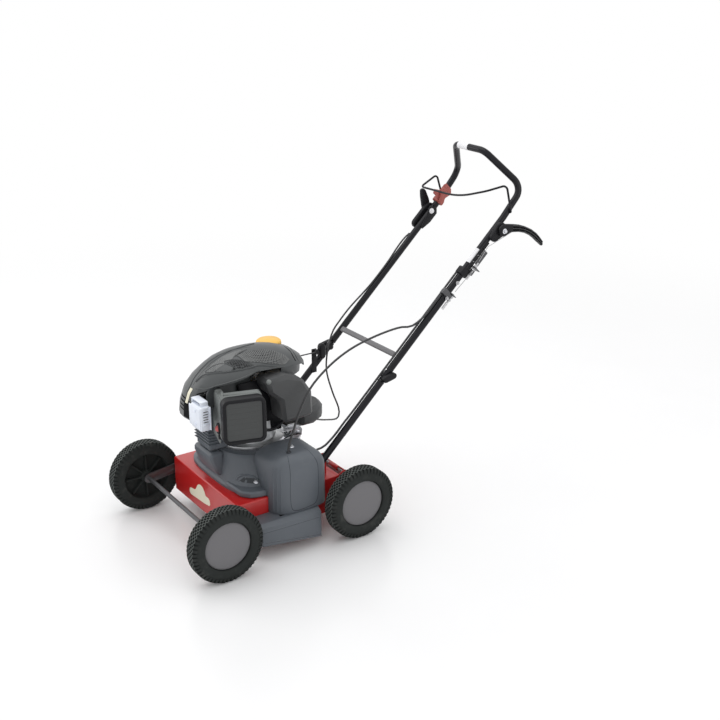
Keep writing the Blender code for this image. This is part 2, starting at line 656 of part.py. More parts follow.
def bell_rings(grown, count):
    """The bell's outer rings, grown outwards if a piece is to be cut clear of it."""
    return [oval(BELL_X, BELL_Y + shift, z, a + grown, b + grown, count, power)
            for z, a, b, power, shift in BELL_RINGS]


def bell_ear(grown, low, high, bevel):
    """The bell's foot at its near front, which a screw holds down on the deck."""
    edge = DECK_NEAR - 0.005 + grown
    outline = [(0.050, -0.100 - grown), (edge - 0.032, -0.096 - grown), (edge - 0.009, -0.078),
               (edge, -0.050), (edge, -0.012 + grown), (0.060, -0.012 + grown)]
    return prism(outline, "Z", low, high, bevel, 1)


def guard_block(inset, low):
    """The belt guard's body: a crowned top that rounds over into its side and both its ends."""
    rings = []
    middle = (GUARD_FRONT + GUARD_BACK) / 2
    squeeze = 1 - 2 * inset / (GUARD_BACK - GUARD_FRONT)
    for y, back_off, drop in GUARD_RINGS:
        side, top = GUARD_SIDE - inset - back_off, GUARD_TOP - inset - drop
        y = middle + (y - middle) * squeeze
        ring = [(GUARD_INNER + inset, low), (side, low)]
        for k in range(5):
            turn = math.pi / 2 * k / 4
            ring.append((side - GUARD_CORNER * (1 - math.cos(turn)),
                         top - GUARD_CORNER * (1 - math.sin(turn))))
        ring.append((GUARD_INNER + inset, top))
        rings.append([Vector((x, y, z)) for x, z in ring])
    return loft(rings)


def make_flap():
    """Rear guard flap that hangs on a rod across the deck's back."""
    ends = [(DECK_FAR - 0.004, HINGE_Y, HINGE_Z), (DECK_NEAR + 0.004, HINGE_Y, HINGE_Z)]
    pipe("flap_rod", ends, HINGE_ROD, STEEL)
    hinge = empty("flap_hinge", (0, HINGE_Y, HINGE_Z), machine)
    along = Vector((FLAP_TAIL_Y - HINGE_Y, FLAP_TAIL_Z - HINGE_Z)).normalized()
    out = Vector((-along.y, along.x))
    start = Vector((HINGE_Y, HINGE_Z)) + out * (KNUCKLE - SHEET)
    tail = Vector((FLAP_TAIL_Y, FLAP_TAIL_Z))
    section = [start - along * 0.004, tail + out * (KNUCKLE - SHEET), tail + out * KNUCKLE,
               start - along * 0.004 + out * SHEET]
    plate = prism([tuple(p) for p in section], "X", FLAP_FAR, FLAP_NEAR)
    flap = solid("rear_flap", plate, RED, hinge)
    for low in KNUCKLES:
        weld(flap, rod("X", (0, HINGE_Y, HINGE_Z), KNUCKLE, low, low + KNUCKLE_LENGTH))
    bore = HINGE_ROD + PLAY
    cut(flap, rod("X", (0, HINGE_Y, HINGE_Z), bore, DECK_FAR - 0.01, DECK_NEAR + 0.03))
    for outside in (DECK_FAR, DECK_NEAR - SHEET):
        cut(flap, box(outside - 0.003, outside + SHEET + 0.003, HINGE_Y - 0.03, HINGE_Y + 0.04,
                      HINGE_Z - 0.028, HINGE_Z + 0.027))


def make_engine():
    """Upright-shaft petrol engine: block, head, exhaust, air filter, tank and blower housing."""
    base = BELL_TOP + GAP
    count = 20
    rings = [oval(ENGINE_X, ENGINE_Y, z, r, r * 0.98, count) for z, r in
             ((base, 0.100), (base + 0.008, 0.100), (base + 0.0085, 0.076), (0.352, 0.070))]
    block = solid("engine_block", loft(rings), ALLOY)
    weld(block, box(-0.064, 0.013, -0.120, -0.040, base + 0.001, 0.372, 0.006, 1))
    weld(block, rod("Z", (OIL_X, OIL_Y, 0), 0.012, base + 0.002, OIL_Z, 12))
    plate = prism([(p.x, p.y) for p in oval(SHROUD_X, SHROUD_Y, 0, 0.127, 0.171, 28)], "Z",
                  SHROUD_FOOT - 0.0035, SHROUD_FOOT - GAP)
    baffle = solid("baffle", plate, ALLOY)
    cut(baffle, box(0.014, 0.2, -0.3, 0.3, 0.3, 0.4))
    cut(baffle, box(-0.095, 0.014 + 0.01, -0.3, -0.110, 0.3, 0.4))
    cut(baffle, box(-0.16, -0.085, 0.035, 0.095, 0.3, 0.4))
    weld(block, taken(baffle))
    plate = [(0.070, base + 0.004), (0.100, base + 0.004), (0.116, CONTROL_Z), (CONTROL_Y, CONTROL_Z),
             (CONTROL_Y, CONTROL_Z - SHEET), (0.117, CONTROL_Z - SHEET), (0.101, base), (0.070, base)]
    weld(block, prism(plate, "X", CONTROL_X - 0.012, CONTROL_X + 0.012))
    cut(block, rod("Z", (ENGINE_X, ENGINE_Y, 0), CRANK_RADIUS + PLAY, 0.2, 0.4))

    head_near = 0.012
    casting = box(-0.070, head_near, -0.150, -0.120 - GAP, 0.326, 0.386, 0.008, 2)
    head = solid("cylinder_head", casting, ALLOY)
    cut(head, rod("Y", (PLUG_X, 0, PLUG_Z), 0.0072, -0.16, -0.136, 12))
    plug = [(0, 0), (0.0068, 0), (0.0068, -0.014), (0.009, -0.0145), (0.009, -0.024), (0, -0.024)]
    solid("spark_plug", turned(plug, "Y", (PLUG_X, -0.1365, PLUG_Z), 12, ring=False), ZINC)
    exhaust = solid("muffler", box(0.027, 0.083, -0.176, -0.147, 0.338, 0.405, 0.005, 2), ZINC)
    weld(exhaust, box(head_near - 0.006, 0.040, -0.154, -0.137, 0.344, 0.362))
    cut(exhaust, box(-0.1, head_near + GAP, -0.2, -0.1, 0.30, 0.42))

    turn = Matrix.Rotation(FILTER_TURN, 3, "Z")
    face = Vector((0.1655, -0.0945, 0.379))

    def faced(deep, shallow, width, low, high, bevel, segments=2):
        bm = box(-deep, -shallow, -width / 2, width / 2, low, high, bevel, segments)
        bmesh.ops.rotate(bm, cent=(0, 0, 0), matrix=turn, verts=bm.verts)
        bmesh.ops.translate(bm, vec=face, verts=bm.verts)
        return bm

    cover = solid("filter_cover", faced(0.031, 0, 0.112, -0.061, 0.061, 0.009, 3), BLACK)
    cut(cover, faced(0.05, 0.0035, 0.100, -0.055, 0.055, 0.006))
    weld(cover, faced(0.006, 0.0032, 0.106, -0.058, 0.058, 0))
    base = solid("filter_base", faced(0.074, 0.031 + GAP, 0.108, -0.060, 0.058, 0.005, 1), BLACK)
    wing = box(-0.104, -0.068, -0.0535, -0.036, -0.059, 0.057, 0.004, 1)
    bmesh.ops.rotate(wing, cent=(0, 0, 0), matrix=turn, verts=wing.verts)
    bmesh.ops.translate(wing, vec=face, verts=wing.verts)
    weld(base, wing)
    primer = face + turn @ Vector((-0.060, -0.054, -0.036))
    pocket = rod("Z", (0, 0, 0), PRIMER_RADIUS + PLAY, -PRIMER_TRAVEL - PLAY, 0.01)
    cut(base, aimed(pocket, primer, turn @ Vector((0, -1, 0))))
    carb = solid("carburettor", box(0.050, 0.078, -0.088, -0.052, 0.338, 0.376, 0.004, 1), ALLOY)
    weld(carb, rod("X", (0, -0.070, 0.357), 0.012, 0.038, 0.060, 16))
    cut(carb, faced(0.074 + GAP, -0.1, 0.2, -0.2, 0.2, 0))
    cut(carb, rod("Z", (ENGINE_X, ENGINE_Y, 0), 0.0765 + GAP, 0.2, 0.4, 32))
    return primer, turn @ Vector((0, -1, 0))


def make_tank():
    """Fuel tank wrapped round the engine's near rear side, with its filler neck and cap."""
    outline = [(-0.004, 0.450), (0.056, 0.455), (0.104, 0.438), (0.134, 0.392), (0.138, 0.324),
               (0.045, 0.320), (0.038, 0.385), (0.006, 0.412)]
    tank = solid("fuel_tank", prism(outline, "X", 0.050, 0.122, 0.010, 1), CHARCOAL)
    tail = [(-0.018, 0.108), (0.100, 0.108), (0.100, 0.158), (0.080, 0.192), (0.040, 0.204),
            (0.002, 0.193), (-0.018, 0.170)]
    weld(tank, prism(tail, "Z", 0.286, 0.336, 0.012, 1))
    weld(tank, box(-0.066, 0.060, 0.092, 0.118, 0.395, 0.425, 0.004, 1))
    weld(tank, rod("Z", (CAP_X, CAP_Y, 0), 0.021, 0.397, 0.474, 16))
    cut(tank, rod("Z", (ENGINE_X, ENGINE_Y, 0), 0.0765 + 0.002, 0.2, 0.356, 32))
    cut(tank, rod("Z", (ENGINE_X, ENGINE_Y, 0), FLYWHEEL + 0.004, 0.356, 0.43, 24))
    cut(tank, rod("Z", (CAP_X, CAP_Y, 0), 0.0165, 0.405, 0.48, 16))
    turn = empty("cap_axis", (CAP_X, CAP_Y, 0.474), machine)
    cap = [(0, 0.474 + GAP), (0.022, 0.474 + GAP), (0.031, 0.470), (0.034, 0.474), (0.034, 0.488),
           (0.030, 0.4915), (0, 0.4925)]
    solid("fuel_cap", turned(cap, "Z", (CAP_X, CAP_Y, 0), 24, ring=False), YELLOW, turn)


def dome_rings(shrunk, lowered):
    """The dome's rings: height, and reach to the far side, the front, the near side and the rear."""
    levels = ((SHROUD_FOOT, 0.127, 0.171, 0.127, 0.171), (0.375, 0.1225, 0.169, 0.131, 0.178),
              (0.410, 0.114, 0.159, 0.132, 0.179), (0.440, 0.097, 0.1395, 0.127, 0.174),
              (0.463, 0.075, 0.119, 0.115, 0.160), (0.482, 0.052, 0.097, 0.094, 0.134),
              (0.496, 0.0265, 0.0705, 0.064, 0.094), (0.5035, 0.004, 0.0375, 0.030, 0.046))
    return [oval(SHROUD_X + (near - far) / 2, SHROUD_Y + (rear - front) / 2, z - lowered,
                 (near + far) / 2 - shrunk, (rear + front) / 2 - shrunk, 32, 2.2)
            for z, far, front, near, rear in levels]


def make_shroud():
    """Domed blower housing over the flywheel, cut away on the near side over tank and filter."""
    outer = dome_rings(0, 0)
    inner = dome_rings(0.003, SHEET)
    inner[0] = oval(SHROUD_X, SHROUD_Y, SHROUD_FOOT - 0.01, 0.124, 0.168, len(inner[1]), 2.2)
    shroud = solid("blower_shroud", loft(outer), BLACK)
    cut(shroud, loft(inner))
    lip = [(-0.30, 0.300), (0.30, 0.300), (0.30, 0.425), (0.150, 0.448), (0.110, 0.458),
           (0.050, 0.466), (-0.010, 0.468), (-0.030, 0.463), (-0.054, 0.4555), (-0.089, 0.4473),
           (-0.1175, 0.440), (-0.137, 0.4265), (-0.150, 0.417), (-0.30, 0.410)]
    cut(shroud, prism(lip, "X", 0.0155, 0.2))
    wall = solid("wall", box(0.0395, 0.0425, -0.136, -0.008, 0.380, 0.500), BLACK)
    reshape(wall, loft(dome_rings(0.001, 0.001)), "INTERSECT")
    weld(shroud, taken(wall))
    cut(shroud, box(-0.075, 0.10, 0.085, 0.30, 0.320, 0.4265))
    cut(shroud, rod("Z", (CAP_X, CAP_Y, 0), 0.0355, 0.440, 0.52, 20))
    cut(shroud, rod("Y", (ROPE_X, 0, ROPE_Z), ROPE_RADIUS + 0.0025, 0.0, 0.25, 12))


def make_small_engine_parts(primer, way):
    """Pull starter, primer bulb and oil filler cap."""
    ring = rod("Y", (ROPE_X, 0, ROPE_Z), 0.0075, GUIDE_Y - 0.003, GUIDE_Y + 0.003)
    guide = solid("rope_guide", ring, ZINC)
    low = handle_z(GUIDE_Y) - 0.010
    inner = -HANDLE_HALF + TUBE_RADIUS + GAP
    weld(guide, box(inner, inner + 0.0025, GUIDE_Y - 0.008, GUIDE_Y + 0.008, low, ROPE_Z + 0.004))
    weld(guide, box(inner, ROPE_X - 0.004, GUIDE_Y - 0.002, GUIDE_Y + 0.002, ROPE_Z - 0.0045,
                    ROPE_Z + 0.004))
    cut(guide, rod("Y", (ROPE_X, 0, ROPE_Z), ROPE_RADIUS + PLAY, GUIDE_Y - 0.01, GUIDE_Y + 0.01,
                   12))

    pull = empty("starter_pull", (ROPE_X, GUIDE_Y + 0.004, ROPE_Z), machine)
    start = GUIDE_Y + 0.003 + GAP
    middle = start + 0.011
    side = capsule((middle, ROPE_Z - 0.013), (middle, ROPE_Z + 0.013), 0.0105, 0.0105)
    grip = prism(side, "X", ROPE_X - 0.0095, ROPE_X + 0.0095, 0.004, 1)
    handle = solid("starter_grip", grip, BLACK, pull)
    cut(handle, rod("Y", (ROPE_X, 0, ROPE_Z), ROPE_RADIUS + GAP, start - 0.01, start + 0.010, 12))
    run = [(ROPE_X, 0.030, ROPE_Z), (ROPE_X, start + 0.009, ROPE_Z)]
    pipe("starter_rope", run, ROPE_RADIUS, CORD, pull)

    press = empty("primer_press", primer, machine)
    rim = PRIMER_RADIUS
    bulb = turned([(0, GAP), (rim, GAP), (rim, 0.0035), (rim - 0.0015, 0.0035), (rim - 0.003, 0.0078),
                   (rim - 0.006, 0.0102), (0, 0.0110)], "Z", (0, 0, 0), 16, ring=False)
    solid("primer_bulb", aimed(bulb, primer, way), BULB, press)

    screw = empty("oil_axis", (OIL_X, OIL_Y, OIL_Z), machine)
    cap = [(0, GAP), (0.0155, GAP), (0.0155, 0.011), (0.006, 0.013), (0.006, 0.021), (0, 0.021)]
    solid("oil_filler_cap", turned(cap, "Z", (OIL_X, OIL_Y, OIL_Z), 16, ring=False), BLACK, screw)


def make_handle():
    """Lower tubes on the deck, and the upper handle that folds forward about their top ends."""
    fold_z = handle_z(FOLD_Y)
    up = Vector((0, math.cos(HANDLE_ANGLE), math.sin(HANDLE_ANGLE)))
    joint = Vector((0, FOLD_Y, fold_z))
    foot = Vector((0, HANDLE_FOOT_Y - 0.004, handle_z(HANDLE_FOOT_Y - 0.004)))
    fold = empty("handle_fold", joint, machine)
    for name, side in (("lower_tube_near", 1), ("lower_tube_far", -1)):
        x = Vector((side * HANDLE_HALF, 0, 0))
        tube = as_mesh(pipe(name, [foot + x, joint + up * LAP + x], TUBE_RADIUS, TUBE))
        cut(tube, lap_block(side, joint, up, 1))
        cut(tube, bolt_hole(side, joint))
    bars = []
    for side in (1, -1):
        bars.append([Vector((side * HANDLE_HALF, FOLD_Y, fold_z)) - up * LAP,
                     Vector((side * HANDLE_HALF, STRAIGHT_Y, handle_z(STRAIGHT_Y))),
                     Vector((side * HANDLE_HALF, BEND_Y, BEND_Z)),
                     Vector((side * GRIP_HALF, GRIP_Y, GRIP_Z))])
    corners = bars[0] + bars[1][::-1]
    path = rounded(corners, (0.10, BEND_RADIUS, 0.035, 0.035, BEND_RADIUS, 0.10))
    handle = as_mesh(pipe("upper_handle", path, TUBE_RADIUS, TUBE, fold))
    for side in (1, -1):
        cut(handle, lap_block(side, joint, up, -1))
        cut(handle, bolt_hole(side, joint))
        low, high = span(side, HANDLE_HALF, HANDLE_HALF + 0.012)
        cut(handle, rod("X", (0, BAIL_Y, handle_z(BAIL_Y)), BAIL_WIRE + PLAY, low, high, 10))
    inner = HANDLE_HALF - TUBE_RADIUS - GAP
    bar = box(-inner, inner, -CROSSBAR_DEPTH / 2, CROSSBAR_DEPTH / 2, -CROSSBAR_THICK / 2,
              CROSSBAR_THICK / 2, 0.003, 1)
    tilt = Matrix.Rotation(HANDLE_ANGLE, 3, "X")
    bmesh.ops.rotate(bar, cent=(0, 0, 0), matrix=tilt, verts=bar.verts)
    bmesh.ops.translate(bar, vec=(0, CROSSBAR_Y, handle_z(CROSSBAR_Y) + CROSSBAR_LIFT),
                        verts=bar.verts)
    solid("crossbar", bar, CAPGREY, fold)
    for name, side in (("fold_knob_near", 1), ("fold_knob_far", -1)):
        screw = empty(name + "_axis", (side * HANDLE_HALF, FOLD_Y, fold_z), machine)
        low, high = span(side, HANDLE_HALF - 0.013, HANDLE_HALF + 0.018)
        bolt = rod("X", (0, FOLD_Y, fold_z), BOLT - PLAY, low, high, 12)
        knob = solid(name, bolt, BLACK, screw)
        low, high = span(side, HANDLE_HALF + TUBE_RADIUS + GAP, HANDLE_HALF + TUBE_RADIUS + 0.016)
        wing = capsule((FOLD_Y - 0.013, fold_z - 0.003), (FOLD_Y + 0.013, fold_z + 0.003),
                       0.0085, 0.0085)
        weld(knob, prism(wing, "X", low, high, 0.003, 1))
        low, high = span(side, HANDLE_HALF - TUBE_RADIUS - 0.004, inner)
        weld(knob, rod("X", (0, FOLD_Y, fold_z), 0.008, low, high, 12))
    return fold


def span(side, near, far):
    """The lower and the higher of two places along X, on the side of the machine that is meant."""
    return sorted((side * near, side * far))


def bolt_hole(side, joint):
    """The hole for a fold bolt through a handle tube."""
    low, high = span(side, HANDLE_HALF - 0.02, HANDLE_HALF + 0.02)
    return rod("X", joint, BOLT, low, high, 12)


def lap_block(side, joint, up, end):
    """What is cut from a tube end at the fold: half its section, and the hole for the bolt."""
    across = Vector((0, -up.z, up.y))
    inner = side * (HANDLE_HALF - end * GAP / 2)
    outer = side * (HANDLE_HALF + end * 0.02)
    low, high = sorted((inner, outer))
    wide = across * 0.02
    start = joint - up * end * LAP_ROOM
    stop = joint + up * end * (LAP + 0.02)
    corners = [start + wide, start - wide, stop - wide, stop + wide]
    return prism([(p.y, p.z) for p in corners], "X", low, high)


def beside(x, y, lift):
    """A point over a handle tube's middle line, lifted square to the tube."""
    return (x, y - lift * math.sin(HANDLE_ANGLE), handle_z(y) + lift * math.cos(HANDLE_ANGLE))


def tilted(run, lifts):
    """Outline of a plate that lies along a handle tube, between two lifts over its middle line."""
    (start, end), (low, high) = run, lifts
    corners = ((start, low), (end, low), (end, high), (start, high))
    return [beside(0, y, lift)[1:] for y, lift in corners]


def collar(name, side, y, length, width, height, material, holder):
    """A block clamped round a handle tube."""
    place = Vector((side * HANDLE_HALF, y, handle_z(y)))
    tilt = Matrix.Rotation(HANDLE_ANGLE, 3, "X")

    def laid(bm):
        bmesh.ops.rotate(bm, cent=(0, 0, 0), matrix=tilt, verts=bm.verts)
        bmesh.ops.translate(bm, vec=place, verts=bm.verts)
        return bm

    body = box(-width / 2, width / 2, -length / 2, length / 2, -height / 2, height / 2, 0.003, 1)
    block = solid(name, laid(body), material, holder)
    bore = (TUBE_RADIUS + GAP) / math.cos(math.pi / 16)
    return cut(block, laid(rod("Y", (0, 0, 0), bore, -length, length)))


def make_controls(fold):
    """Bail, its lock, throttle and depth levers, and the cable gear on the tubes."""
    pivot = Vector((0, BAIL_Y, handle_z(BAIL_Y)))
    bail_axis = empty("bail_axis", pivot, fold)
    reach = HANDLE_HALF + TUBE_RADIUS / 2
    corners = [(reach, pivot.y, pivot.z), (BAIL_HALF, pivot.y, pivot.z), (BAIL_HALF, 0.746, 0.872),
               (0.100, 0.723, 0.848), (0, 0.703, 0.816), (-BAIL_HALF, 0.691, 0.818),
               (-BAIL_HALF, 0.748, 0.847), (-BAIL_HALF, pivot.y, pivot.z),
               (-reach, pivot.y, pivot.z)]
    path = rounded(corners, (BAIL_BEND, 0.010, 0.150, 0.300, 0.010, 0.010, BAIL_BEND), 4)
    pipe("bail", path, BAIL_WIRE, TUBE, bail_axis, resolution=1)

    collar("lock_clamp", -1, LATCH_Y, 0.016, 0.027, 0.027, LATCHRED, fold)
    turn = Vector((-HANDLE_HALF + 0.0145 + GAP, *beside(0, LATCH_Y, 0.004)[1:]))
    lock = empty("lock_axis", turn, fold)
    tip = beside(0, LATCH_Y + 0.020, 0.024)[1:]
    blade = capsule((turn.y, turn.z), tip, 0.0085, 0.0055, 4)
    solid("lock_lever", prism(blade, "X", turn.x - 0.001, turn.x + 0.0075, 0.001, 1), LATCHRED, lock)

    face = HANDLE_HALF + TUBE_RADIUS + GAP
    for name, side, hub, tail, outline in (
            ("depth", 1, (LEVER_Y, LEVER_Z), (-0.020, -0.017), DEPTH_ARM),
            ("throttle", -1, (THROTTLE_Y, THROTTLE_Z), (-0.046, -0.034), THROTTLE_ARM)):
        low, high = span(side, face, face + 0.013)
        tail = (hub[0] + tail[0], hub[1] + tail[1])
        body = prism(capsule(hub, tail, 0.0215, 0.014), "X", low, high, 0.002, 1)
        case = solid(name + "_housing", body, BLACK, fold)
        cut(case, rod("X", (0, *hub), BOLT + PLAY, low - 0.01, high + 0.01, 12))
        axis = empty(name + "_axis", (side * (face + 0.013), *hub), fold)
        low, high = span(side, face + 0.013 + GAP, face + 0.026)
        points = [(hub[0] + u, hub[1] + v) for u, v in outline]
        arm = solid(name + "_lever", prism(points, "X", low, high, 0.003, 1), BLACK, axis)
        low, high = span(side, face + 0.004, face + 0.020)
        weld(arm, rod("X", (0, *hub), BOLT, low, high, 12))

    block = collar("cable_adjuster", 1, 0.612, 0.024, 0.028, 0.027, BLACK, fold)
    strip = tilted((0.610, 0.690), (-0.006, 0.007))
    weld(block, prism(strip, "X", face, face + SHEET))
    for y in (0.640, 0.656, 0.672):
        cut(block, rod("X", (0, *beside(0, y, 0)[1:]), 0.0028, face - 0.002, face + 0.006, 8))
    bracket = collar("cable_clamp", 1, 0.556, 0.018, 0.027, 0.027, DARK, fold)
    post = tilted((0.550, 0.562), (0.010, 0.024))
    weld(bracket, prism(post, "X", HANDLE_HALF + 0.004, HANDLE_HALF + 0.012))
    groove = tilted((0.530, 0.582), (DEPTH_LIFT - 0.0045, 0.030))
    middle = HANDLE_HALF - DEPTH_SHIFT
    cut(bracket, prism(groove, "X", middle - CABLE_RADIUS - PLAY, middle + CABLE_RADIUS + PLAY))


# Lever arms, as places about the hub
DEPTH_ARM = ((-0.014, -0.010), (-0.005, -0.0155), (0.006, -0.0155), (0.018, -0.0105),
             (0.030, -0.0078), (0.054, -0.0105), (0.076, -0.0165), (0.0965, -0.0265),
             (0.111, -0.037), (0.1235, -0.048), (0.1355, -0.0575), (0.1425, -0.0635),
             (0.1465, -0.064), (LEVER_REACH, -0.060), (0.147, -0.053), (0.1365, -0.0385),
             (0.122, -0.024), (0.102, -0.0098), (0.078, 0.002), (0.0575, 0.0092),
             (0.0365, 0.0135), (0.020, 0.0162), (0.006, 0.018), (-0.006, 0.016), (-0.014, 0.010))
THROTTLE_ARM = ((-0.010, -0.013), (0.008, -0.013), (0.015, 0.000), (0.008, 0.030), (-0.004, 0.056),
                (-0.012, 0.064), (-0.022, 0.060), (-0.021, 0.040), (-0.016, 0.012))


def make_cables():
    """Bowden cables of the clutch, the depth setting and the throttle, along their real routes."""
    lift = TUBE_RADIUS + CABLE_RADIUS + GAP
    x = HANDLE_HALF
    route = [beside(x, 0.5492, lift), beside(x, 0.520, lift + PLAY), beside(x, 0.495, lift + 0.0015),
             (x - 0.0025, 0.443, 0.5195), (x - 0.0055, 0.400, 0.522), (x - 0.0095, 0.330, 0.512),
             (x - 0.0115, 0.252, 0.492), (x - 0.0105, 0.1825, 0.4595), (x + 0.0035, 0.114, 0.418),
             (x + 0.0165, 0.0707, 0.3668), (CLUTCH_X - 0.004, 0.036, 0.312),
             (CLUTCH_X, CLUTCH_Y, GUARD_TOP + 0.016), (CLUTCH_X, CLUTCH_Y, GUARD_TOP - 0.008)]
    pipe("clutch_cable", smooth(route, 0.017), CABLE_RADIUS, CORD)
    x = HANDLE_HALF - DEPTH_SHIFT
    foot = GUARD_SIDE - 0.062
    route = [beside(x, y, DEPTH_LIFT) for y in (0.603, 0.540, 0.480, 0.420, 0.360, 0.300, 0.262)]
    route += [beside(x + 0.0012, 0.232, 0.0140), (x + 0.0052, 0.186, 0.258), (foot, 0.152, 0.239),
              (foot, GUARD_BACK + 0.002, 0.236), (foot, GUARD_BACK - 0.005, 0.235)]
    pipe("depth_cable", smooth(route, 0.017), CABLE_RADIUS, CORD)
    x = -HANDLE_HALF
    lift = TUBE_RADIUS + THIN_CABLE + GAP
    control_z = CONTROL_Z + THIN_CABLE + GAP
    route = [beside(x - 0.0165, 0.652, 0), beside(x - 0.0145, 0.636, 0.006),
             beside(x - 0.006, 0.610, 0.0125), beside(x, 0.570, lift), beside(x, 0.520, lift),
             beside(x, 0.490, 0.016), (x, 0.429, 0.500), (x, 0.394, 0.467),
             (x + 0.0025, 0.366, 0.437), (x + 0.015, 0.341, 0.392), (x + 0.0175, 0.334, 0.330),
             (x + 0.0305, 0.345, 0.265), (x + 0.0415, 0.360, 0.211), (x + 0.0565, 0.344, 0.190),
             (-0.045, 0.277, 0.216), (-0.005, 0.220, 0.2465), (0.020, 0.186, 0.2655),
             (CONTROL_X, 0.165, control_z), (CONTROL_X, 0.135, control_z)]
    pipe("throttle_cable", smooth(route, 0.015), THIN_CABLE, CORD)


make_deck()
swing_empty = make_axles()
for side, name in ((1, "near"), (-1, "far")):
    make_wheel("front_" + name, side, FRONT_Y, swing_empty)
    make_wheel("rear_" + name, side, REAR_Y, machine)
make_rotor()
make_drive()
make_covers()
make_flap()
primer_place, primer_way = make_engine()
make_tank()
make_shroud()
make_small_engine_parts(primer_place, primer_way)
fold_empty = make_handle()
make_controls(fold_empty)
make_cables()
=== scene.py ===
"""Looks of a petrol lawn scarifier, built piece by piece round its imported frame.

Metres, +Z up. The front of the machine faces -Y, and the belt drive stands on the near side, +X.
"""

from math import cos, hypot, pi, radians, sin, tan

import bmesh
import bpy
from mathutils import Matrix, Vector
from mathutils.bvhtree import BVHTree


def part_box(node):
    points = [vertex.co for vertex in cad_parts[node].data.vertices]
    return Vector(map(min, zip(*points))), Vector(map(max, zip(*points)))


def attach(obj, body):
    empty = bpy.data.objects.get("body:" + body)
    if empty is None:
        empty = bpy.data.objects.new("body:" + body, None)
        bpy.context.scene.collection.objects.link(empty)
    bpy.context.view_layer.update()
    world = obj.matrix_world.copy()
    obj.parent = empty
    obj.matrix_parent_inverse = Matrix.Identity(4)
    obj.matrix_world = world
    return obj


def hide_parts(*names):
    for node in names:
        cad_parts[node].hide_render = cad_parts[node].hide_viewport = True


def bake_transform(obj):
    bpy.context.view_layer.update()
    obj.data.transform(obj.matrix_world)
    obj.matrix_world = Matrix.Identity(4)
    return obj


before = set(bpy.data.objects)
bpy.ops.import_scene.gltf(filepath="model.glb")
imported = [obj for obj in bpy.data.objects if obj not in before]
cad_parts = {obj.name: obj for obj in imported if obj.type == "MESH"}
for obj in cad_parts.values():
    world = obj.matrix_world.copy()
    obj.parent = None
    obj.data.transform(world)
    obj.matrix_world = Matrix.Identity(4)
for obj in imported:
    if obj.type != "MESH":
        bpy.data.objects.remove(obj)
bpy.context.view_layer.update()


# Studio
# A pale floor that runs to a white room, with one broad soft lamp over the machine and two
# weaker ones at its sides. The camera stands in front on the near side, above the handle's height.
CAMERA_PLACE = (2.54741535, -1.66374151, 1.56839264)
CAMERA_AZIMUTH = 55.5992
CAMERA_ELEVATION = 20.8397
CAMERA_LENS = 58.773
SENSOR = 36.0

scene = bpy.context.scene
scene.view_settings.view_transform = "Standard"


def placed(name, data):
    """A new object in the scene, with this mesh, lamp or camera."""
    item = bpy.data.objects.new(name, data)
    scene.collection.objects.link(item)
    return item


lens = bpy.data.cameras.new("camera")
lens.sensor_width = SENSOR
lens.lens = CAMERA_LENS
camera = placed("camera", lens)
camera.location = CAMERA_PLACE
camera.rotation_euler = (radians(90 - CAMERA_ELEVATION), 0, radians(CAMERA_AZIMUTH))
scene.camera = camera


class Tone:
    """A socket of a material. Sums and products of tones add Math nodes, node() adds any other."""

    def __init__(self, socket):
        self.socket = socket

    def node(self, kind, settings, inputs, output=0):
        tree = self.socket.id_data
        made = tree.nodes.new(kind)
        for name, value in settings.items():
            setattr(made, name, value)
        for name, value in inputs.items():
            if isinstance(value, Tone):
                tree.links.new(value.socket, made.inputs[name])
            else:
                made.inputs[name].default_value = value
        return Tone(made.outputs[output])

    def into(self, shader, name):
        self.socket.id_data.links.new(self.socket, shader.inputs[name])

    def maths(self, operation, first, second):
        return self.node("ShaderNodeMath", {"operation": operation}, {0: first, 1: second})

    def __add__(self, other):
        return self.maths("ADD", self, other)

    def __mul__(self, other):
        return self.maths("MULTIPLY", self, other)

    def between(self, low, high):
        """0 under low, 1 over high, and a smooth step between them."""
        return self.node("ShaderNodeMapRange", {"interpolation_type": "SMOOTHSTEP"},
                         {0: self, 1: low, 2: high})

    def noise(self, scale, detail=2.0):
        """Cloudy noise over this place, with so many clouds to the metre."""
        return self.node("ShaderNodeTexNoise", {}, {"Vector": self, "Scale": scale,
                                                    "Detail": detail})

    def mix(self, first, second):
        """A colour that goes from the first to the second as this tone goes from 0 to 1."""
        return self.node("ShaderNodeMix", {"data_type": "RGBA"}, {0: self, 6: first, 7: second}, 2)

    def bump(self, depth):
        """A surface that rises by depth where this tone is 1."""
        return self.node("ShaderNodeBump", {}, {"Distance": depth, "Height": self})

    def reach(self):
        """How far this place is from the origin."""
        return self.node("ShaderNodeVectorMath", {"operation": "LENGTH"}, {0: self}, 1)


finishes = {}


def open_finish(name):
    """A material, its shader, and the place on the machine that its patterns follow."""
    made = finishes[name] = bpy.data.materials.new(name)
    made.use_nodes = True
    shader = made.node_tree.nodes["Principled BSDF"]
    place = Tone(made.node_tree.nodes.new("ShaderNodeTexCoord").outputs["Object"])
    return made, shader, place


ROOM_LIGHT = 0.86
FLOOR_FADE = (1.1, 3.2)

world = bpy.data.worlds.new("room")
world.use_nodes = True
room = world.node_tree.nodes["Background"]
path = world.node_tree.nodes.new("ShaderNodeLightPath")
seen, glossy, through = (Tone(path.outputs[name]) for name in
                         ("Is Camera Ray", "Is Glossy Ray", "Is Transmission Ray"))
direct = seen.maths("MAXIMUM", seen.maths("MAXIMUM", seen, glossy), through)
(direct * (1.0 - ROOM_LIGHT) + ROOM_LIGHT).into(room, "Strength")
room.inputs["Color"].default_value = (1.0, 1.0, 1.0, 1.0)
scene.world = world

